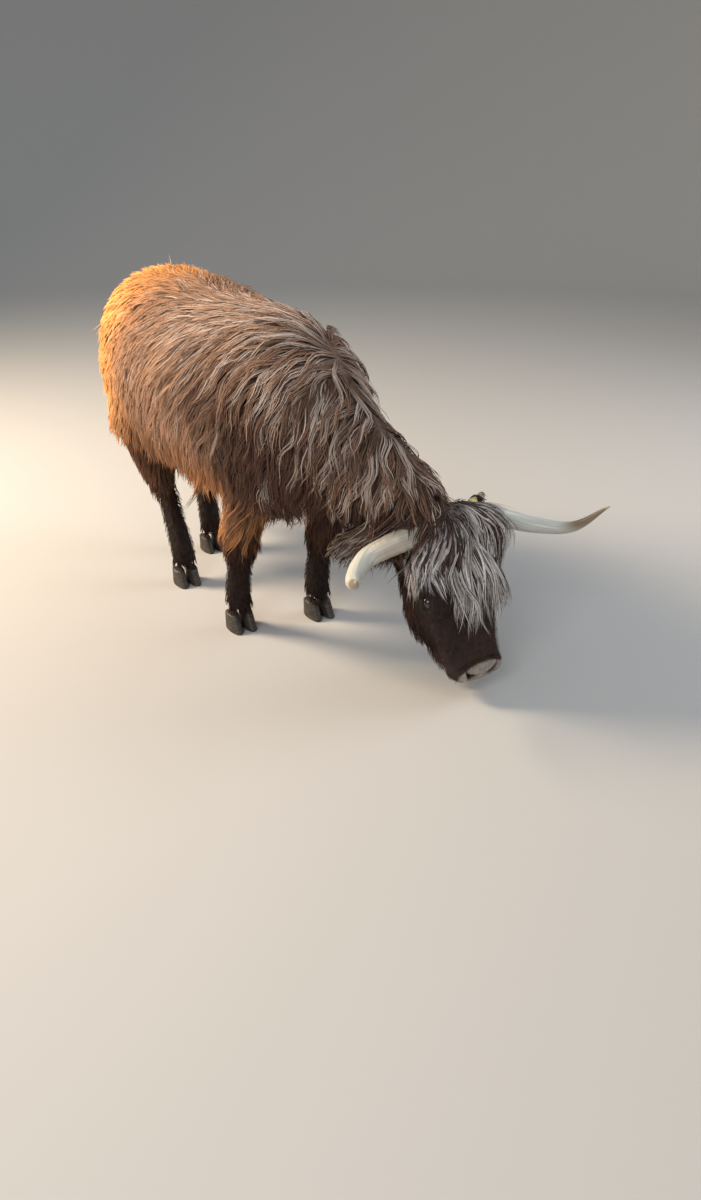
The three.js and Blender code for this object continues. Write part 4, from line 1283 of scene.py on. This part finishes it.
def strand_colours(base, pale, lock, points, pale_tip=BLOND, uneven=1.0):
    """The colours along strands (n, points, 3): each lock has a tone of its own and some locks are pale, each strand
    differs a little, and hair is darker at its root than at its tip."""
    locks = lock.max() + 1
    lock_tone = np.exp(rng.normal(0, 0.20 * uneven, locks))
    lock_warm = rng.normal(0, 0.05, (locks, 1)) * np.array((1.0, 0.2, -0.8))
    lock_dice = rng.random(locks)
    s = np.linspace(0, 1, points)
    own = base * (lock_tone[lock] * np.exp(rng.normal(0, 0.14, len(lock))))[:, None]
    own = own * (1 + lock_warm[lock])
    fair_lock = (lock_dice[lock] < pale) * (rng.random(len(lock)) < 0.8)
    is_pale = np.maximum(fair_lock, rng.random(len(lock)) < pale * 0.2) * rng.uniform(0.25, 0.85, len(lock))
    light = pale_tip * np.exp(rng.normal(0, 0.14, (len(lock), 1)))
    dark_root = own[:, None] * (0.62 + 0.38 * np.minimum(1, s * 2.2))[None, :, None]
    fair = is_pale[:, None] * (0.25 + 0.75 * ramp(s, 0.05, 0.45))[None]
    tip = (1 + 0.35 * s**1.5)[None, :, None]
    colours = dark_root * tip + (light[:, None] - dark_root * tip) * fair[..., None]
    return np.concatenate([np.repeat(colours[:, :-1], 3, 1), colours[:, -1:]], 1)


# Hair: the painted colour, broken by fine streaks that run along each strand, with a soft gloss
hair_look, hair_shader = principled("coat_hair", {"Roughness": 0.72, "Specular IOR Level": 0.06})
hair_streaks = along_lie(hair_look, (9, 1.2, 1))
hair_noise = {"Scale": 3.0, "Detail": 4}
toned_paint(hair_look, hair_shader, hair_streaks, hair_noise, noise_range=(0.3, 0.7), tones=(0.72, 1.28))
hair_share = 1.0
MARKING_BLUR = 0.03  # how far the edges of the markings are mixed, in metres


def coat_piece(name, weights, strands, steps, length, width, wave, closing=0.6, spread=0.004, per_lock=7,
               rise=0.5, droop=0.25, stiff=0.55, far=solids_depth, tones=None, lie=lie_of_coat, uneven=1.0, hang=0.01):
    """Grows one piece of the coat over the triangles of the hide that have a weight. A strand has as many rings as
    steps. length is a number or a function of the roots' places and normals, width is half a strand's width, wave is
    (height, period), far is how high the coat stands, a number or a function of the places, tones are (dark, share of
    pale locks, pale) where they aren't the markings', uneven is how much the locks' tones differ, and hang is how far
    hair may hang below the coat's depth under the body. All lengths are in metres."""
    strands = int(strands * hair_share)
    leads, lead_normals, lead_part = roots_on(weights, max(8, strands // per_lock))
    far = far(leads) if callable(far) else np.full(len(leads), far)
    long = length(leads, lead_normals) if callable(length) else length
    long = long * rng.uniform(0.85, 1.15, len(leads))
    hanging = ramp(-lead_normals[:, 2], 0.2, 0.8) * (lead_part != EAR)
    long = long + (np.minimum(long, far * 1.2 + hang) - long) * hanging
    path, shell = grown(leads, lead_normals, lead_part, long, far, steps, rise, droop, stiff, lie)
    path = waved(path, shell, *wave, long)
    places, normals, part = roots_on(weights, strands)
    path, shell, lock = followed(path, shell, places, normals, closing, spread)
    if tones is None:
        base, pale = markings_and_painted_light(places + rng.normal(0, MARKING_BLUR, places.shape), part)
        pale_tip = BLOND
    else:
        dark, pale, pale_tip = tones
        base = np.tile(dark, (strands, 1))
    colours = strand_colours(base, pale, lock, path.shape[1], pale_tip, uneven)
    widths = width * rng.uniform(0.75, 1.25, strands) * np.clip(long[lock] / 0.06, 0.45, 1)
    mesh = strand_mesh(name, path, shell, widths, colours, unwrapped(places, part))
    piece = object_of(name, mesh, hair_look)
    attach(piece, "root")
    return piece


face_forward, face_up = forward_of(skin_middle), skin_middle[:, 2]
face_spine = TAIL_HEAD[0] - 0.05 + 0.05 * ramp(face_forward, 0.0, 0.8)
on_trunk = face_part == TRUNK
LOIN, SHOULDER = 0.42, 1.0  # where the flanks' hair begins and ends, forward of the head of the tail
underneath = ramp(-skin_facing[:, 2], 0.35, 0.55)

# ---------------------------------------------------------------- coat of the rump
# Shorter and smoother than the rest, ginger, lying down and back, a little tousled over the buttocks.


def rump_length(places, normals):
    """Longer low on the buttocks, and half as long on top."""
    return (0.065 + 0.035 * ramp(places[:, 2], 0.9, 0.6)) * (1 - 0.5 * ramp(places[:, 2], 1.07, 1.12))


def rump_depth(places):
    """As high as the solids, but no higher than 45 mm, and 23 mm on top."""
    return np.clip(reach_of(places), SHALLOWEST, 0.045 - 0.022 * ramp(places[:, 2], 1.04, 1.11))


coat_piece("coat_rump", on_trunk * (face_forward < LOIN), strands=7600, steps=4, length=rump_length,
           width=0.0026, wave=(0.003, 0.08), closing=0.25, rise=0.25, uneven=0.45, far=rump_depth)

# ---------------------------------------------------------------- coat of the flanks
# Shaggy hair that runs down and back over the ribs in shallow waves, one piece for each side.


def flank_length(places, normals):
    """Longest high behind the shoulders, and longer low on the ribs than half way up."""
    behind_shoulder = 0.10 * ramp(forward_of(places), 0.55, 0.95) * ramp(places[:, 2], 0.75, 1.0)
    return 0.13 + behind_shoulder + 0.07 * ramp(places[:, 2], 0.66, 0.52)


for side, way, strands in (("right", -1, 5400), ("left", 1, 4800)):
    on_side = on_trunk * (face_forward >= LOIN) * (face_forward < SHOULDER)
    on_side = on_side * (way * (skin_middle[:, 0] - face_spine) > 0) * (1 - underneath)
    coat_piece("coat_flank_" + side, on_side, strands=strands, steps=6, length=flank_length,
               width=0.0022, wave=(0.011, 0.15), closing=0.35, per_lock=6, rise=0.22, uneven=0.45, hang=0.06)

# ---------------------------------------------------------------- coat of the belly
# The skirt: hair that hangs straight from the belly and brisket, with ragged lower ends.
coat_piece("coat_skirt", on_trunk * underneath * (face_forward >= LOIN), strands=3200, steps=6, length=0.18,
           width=0.0028, wave=(0.008, 0.11), closing=0.55, droop=0.8, stiff=0.75, hang=0.06)

# ---------------------------------------------------------------- coat of the shoulders and neck
# The mane: the longest and waviest locks, dark with many pale ones, swept back from the withers and the crest.


def shoulder_length(places, normals):
    """Longest over the withers."""
    return 0.16 + 0.06 * ramp(places[:, 2], 0.75, 1.0)


def neck_length(places, normals):
    """Half as long on the crest near the poll, where the forelock begins."""
    return 0.20 - 0.10 * ramp(forward_of(places), 1.42, 1.54) * ramp(normals[:, 2], -0.3, 0.3)


on_shoulders = on_trunk * (face_forward >= SHOULDER) * (1 - 0.6 * underneath)
coat_piece("coat_shoulders", on_shoulders, strands=4200, steps=7, length=shoulder_length,
           width=0.0021, wave=(0.019, 0.17), closing=0.5, per_lock=8, rise=0.22, uneven=0.6, hang=0.09)
coat_piece("coat_neck", face_part == NECK, strands=4400, steps=7, length=neck_length,
           width=0.0021, wave=(0.017, 0.15), closing=0.5, per_lock=8, rise=0.25, uneven=0.6, hang=0.12)

# ---------------------------------------------------------------- coat of the legs
# Feathering on the thighs and forearms, shorter on the cannons, with a fringe over each foot.


def leg_length(places, normals):
    """Long on forearm and thigh and longest behind them, with a fringe over each foot."""
    up = places[:, 2]
    behind = 0.05 * ramp(normals[:, 1], 0.1, 0.7) * ramp(up, 0.28, 0.48)
    return 0.028 + 0.07 * ramp(up, 0.22, 0.48) + 0.030 * ramp(up, 0.15, 0.10) + behind


def leg_coat_depth(places):
    """As far as the solids, and a little further on forearm and thigh."""
    return solids_depth(places) + 0.018 * ramp(places[:, 2], 0.22, 0.42)


coat_piece("coat_legs", face_part == LEG, strands=7600, steps=3, length=leg_length, width=0.0021,
           wave=(0.003, 0.06), closing=0.4, rise=0.18, per_lock=5, spread=0.002, uneven=0.6, far=leg_coat_depth)

# ---------------------------------------------------------------- coat of the head
# Short sleek hair on the face that grows towards the muzzle, longer on cheeks and jaw. The nose is bare.
head_bare = np.maximum(on_nose, lips)[skin_triangles].mean(1)
face_here = to_head(skin_middle)
face_along = -face_here[:, 1] / HEAD_LENGTH
EYE_RIM = 0.010  # the bare rim round each eye, in metres
clear = np.ones(len(skin_middle))
for way in (1, -1):
    clear *= np.linalg.norm(face_here - eye_place(way), axis=1) > EYE_RADIUS + EYE_RIM


def head_length(places, normals):
    """Longer under the jaw and on the cheeks, and on the brow."""
    here = to_head(places)
    return 0.016 + 0.045 * ramp(here[:, 2], -0.08, -0.16) + 0.02 * ramp(-here[:, 1] / HEAD_LENGTH, 0.5, 0.2)


on_face = (face_part == HEAD) * ramp(head_bare, 0.4, 0.1) * clear
coat_piece("coat_head", on_face, strands=7600, steps=3, length=head_length, width=0.0015,
           wave=(0.0012, 0.04), closing=0.3, rise=0.35, per_lock=5, spread=0.0015, uneven=0.6)

# ---------------------------------------------------------------- forelock
# The long fringe that springs from the poll between the horns and falls over the face, greyish blond over dark.
FORELOCK_DARK = np.array((0.070, 0.048, 0.040))
FORELOCK_PALE = np.array((0.95, 0.90, 0.87))


def forelock_weight():
    """1 on the poll and brow between the horns, fading down the face."""
    aside, front = np.abs(face_here[:, 0] + 0.018), face_here[:, 2]
    between_horns = (face_part == HEAD) * ramp(aside, 0.118, 0.094)
    return between_horns * ramp(face_along, 0.20, 0.04) * ramp(front, -0.14, -0.10)


def lie_of_forelock(points, normals, part):
    """Out from the middle of the poll over the roots of the horns, and then straight down the face."""
    here = to_head(points)
    near_poll = ramp(-here[:, 1:2] / HEAD_LENGTH, 0.26, 0.02)
    aside = np.clip(here[:, :1] / 0.06, -1.6, 0.55)
    return in_surface(MUZZLE_WAY + SIDE_WAY * aside * (0.68 * near_poll - 0.12), normals)


def forelock_length(places, normals):
    """Longest on the left half of the face, shorter over the right eye."""
    here = to_head(places)
    return 0.30 - 0.145 * ramp(-here[:, 0], 0.0, 0.05) + 0.04 * ramp(here[:, 1], -0.05, 0.02)


def forelock_depth(places):
    """Thin on the poll and thickest over the brow."""
    along = -to_head(places)[:, 1] / HEAD_LENGTH
    return 0.006 + 0.028 * ramp(along, 0.0, 0.16)


forelock = coat_piece("forelock_hair", forelock_weight(), strands=3300, steps=9, length=forelock_length,
                      width=0.0019, wave=(0.016, 0.20), closing=0.62, per_lock=10, rise=0.25, stiff=0.62,
                      far=forelock_depth, tones=(FORELOCK_DARK, 0.80, FORELOCK_PALE), lie=lie_of_forelock)
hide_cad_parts("forelock")

# ---------------------------------------------------------------- coat of the ears
# Soft brown hair all over each ear, bare only round the tag. It sinks as it grows, so that it hangs from the edges.
TAG_CLEAR = (0.050, 0.034)  # the bare oval round the tag, along and across the ear, in metres
beside_tag = np.linalg.norm((face_here - TAG_MIDDLE)[:, :2] / TAG_CLEAR, axis=1) < 1
coat_piece("coat_ears", (face_part == EAR) * (1 - beside_tag), strands=1700, steps=5, length=0.052,
           width=0.0017, wave=(0.004, 0.06), closing=0.45, per_lock=6, rise=0.45, far=0.016, droop=0.8,
           tones=(EAR_BROWN, 0.35, BLOND * 0.7), uneven=0.7)

# ---------------------------------------------------------------- tail
# The dock is covered with short hair and ends in a switch: a long bunch of wavy hair that hangs below it.
coat_piece("coat_tail", (face_part == TAIL) * ramp(face_up, 1.12, 1.06), strands=1400, steps=4, length=0.060,
           width=0.0026, wave=(0.003, 0.06), closing=0.5, rise=0.12, per_lock=5)

SWITCH_TOP, SWITCH_STRANDS, SWITCH_PER_LOCK, SWITCH_STEPS = 0.80, int(1300 * hair_share), 9, 8
switch_low, switch_high = (np.array(corner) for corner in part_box("tail_switch"))
SWITCH_HALF, SWITCH_MIDDLE = (switch_high - switch_low)[:2] / 2, (switch_low + switch_high)[:2] / 2


def switch_paths(count):
    """Leading strands of the switch. Each keeps its own share of the bunch's radius, which swells as sin ^ 2 from the
    top and closes again towards the tip, and its own angle, which drifts as it falls."""
    s = np.linspace(0, 1, SWITCH_STEPS + 1)[None]
    top = rng.uniform(0.62, SWITCH_TOP, (count, 1))
    end = switch_low[2] + 0.02 + rng.uniform(0, 1, (count, 1)) ** 2 * 0.22
    up = top + (end - top) * s
    fall = np.clip((SWITCH_TOP - up) / (SWITCH_TOP - switch_low[2]), 0, 1)
    swell = 0.42 + 0.58 * np.sin(np.clip(fall * 1.25, 0, 1) * math.pi / 2) ** 2
    swell = swell * (1 - ramp(fall, 0.60, 1.05) * 0.85)
    turn = rng.uniform(0, 2 * math.pi, (count, 1)) + rng.normal(0, 0.5, (count, 1)) * s
    share = rng.uniform(0.25, 1, (count, 1)) ** 0.5 * 0.92
    x = SWITCH_MIDDLE[0] + np.cos(turn) * share * swell * SWITCH_HALF[0]
    y = SWITCH_MIDDLE[1] + np.sin(turn) * share * swell * SWITCH_HALF[1]
    over = np.stack([np.cos(turn) + 0 * s, np.sin(turn) + 0 * s, 0 * turn + 0 * s], -1)
    return np.stack([x, y, up], -1), unit(over)


lead_count = SWITCH_STRANDS // SWITCH_PER_LOCK
path, shell = switch_paths(lead_count)
path = waved(path, shell, height=0.010, period=0.13, length=np.full(lead_count, 0.35))
places = path[:, 0][rng.integers(0, lead_count, SWITCH_STRANDS)] + rng.normal(0, 0.007, (SWITCH_STRANDS, 3))
over = unit((places - np.append(SWITCH_MIDDLE, 0)) * (1, 1, 0))
path, shell, lock = followed(path, shell, places, over, closing=0.7, spread=0.005)
part = np.full(SWITCH_STRANDS, TAIL)
base, pale = markings_and_painted_light(places, part)
colours = strand_colours(base * 0.8, pale + 0.15, lock, path.shape[1])
widths = 0.0026 * rng.uniform(0.75, 1.25, SWITCH_STRANDS)
mesh = strand_mesh("tail_switch_hair", path, shell, widths, colours, unwrapped(places, part))
switch = object_of("tail_switch_hair", mesh, hair_look)
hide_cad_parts("tail_switch")
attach(switch, "root")

# ---------------------------------------------------------------- the size, and the end
low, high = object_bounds()
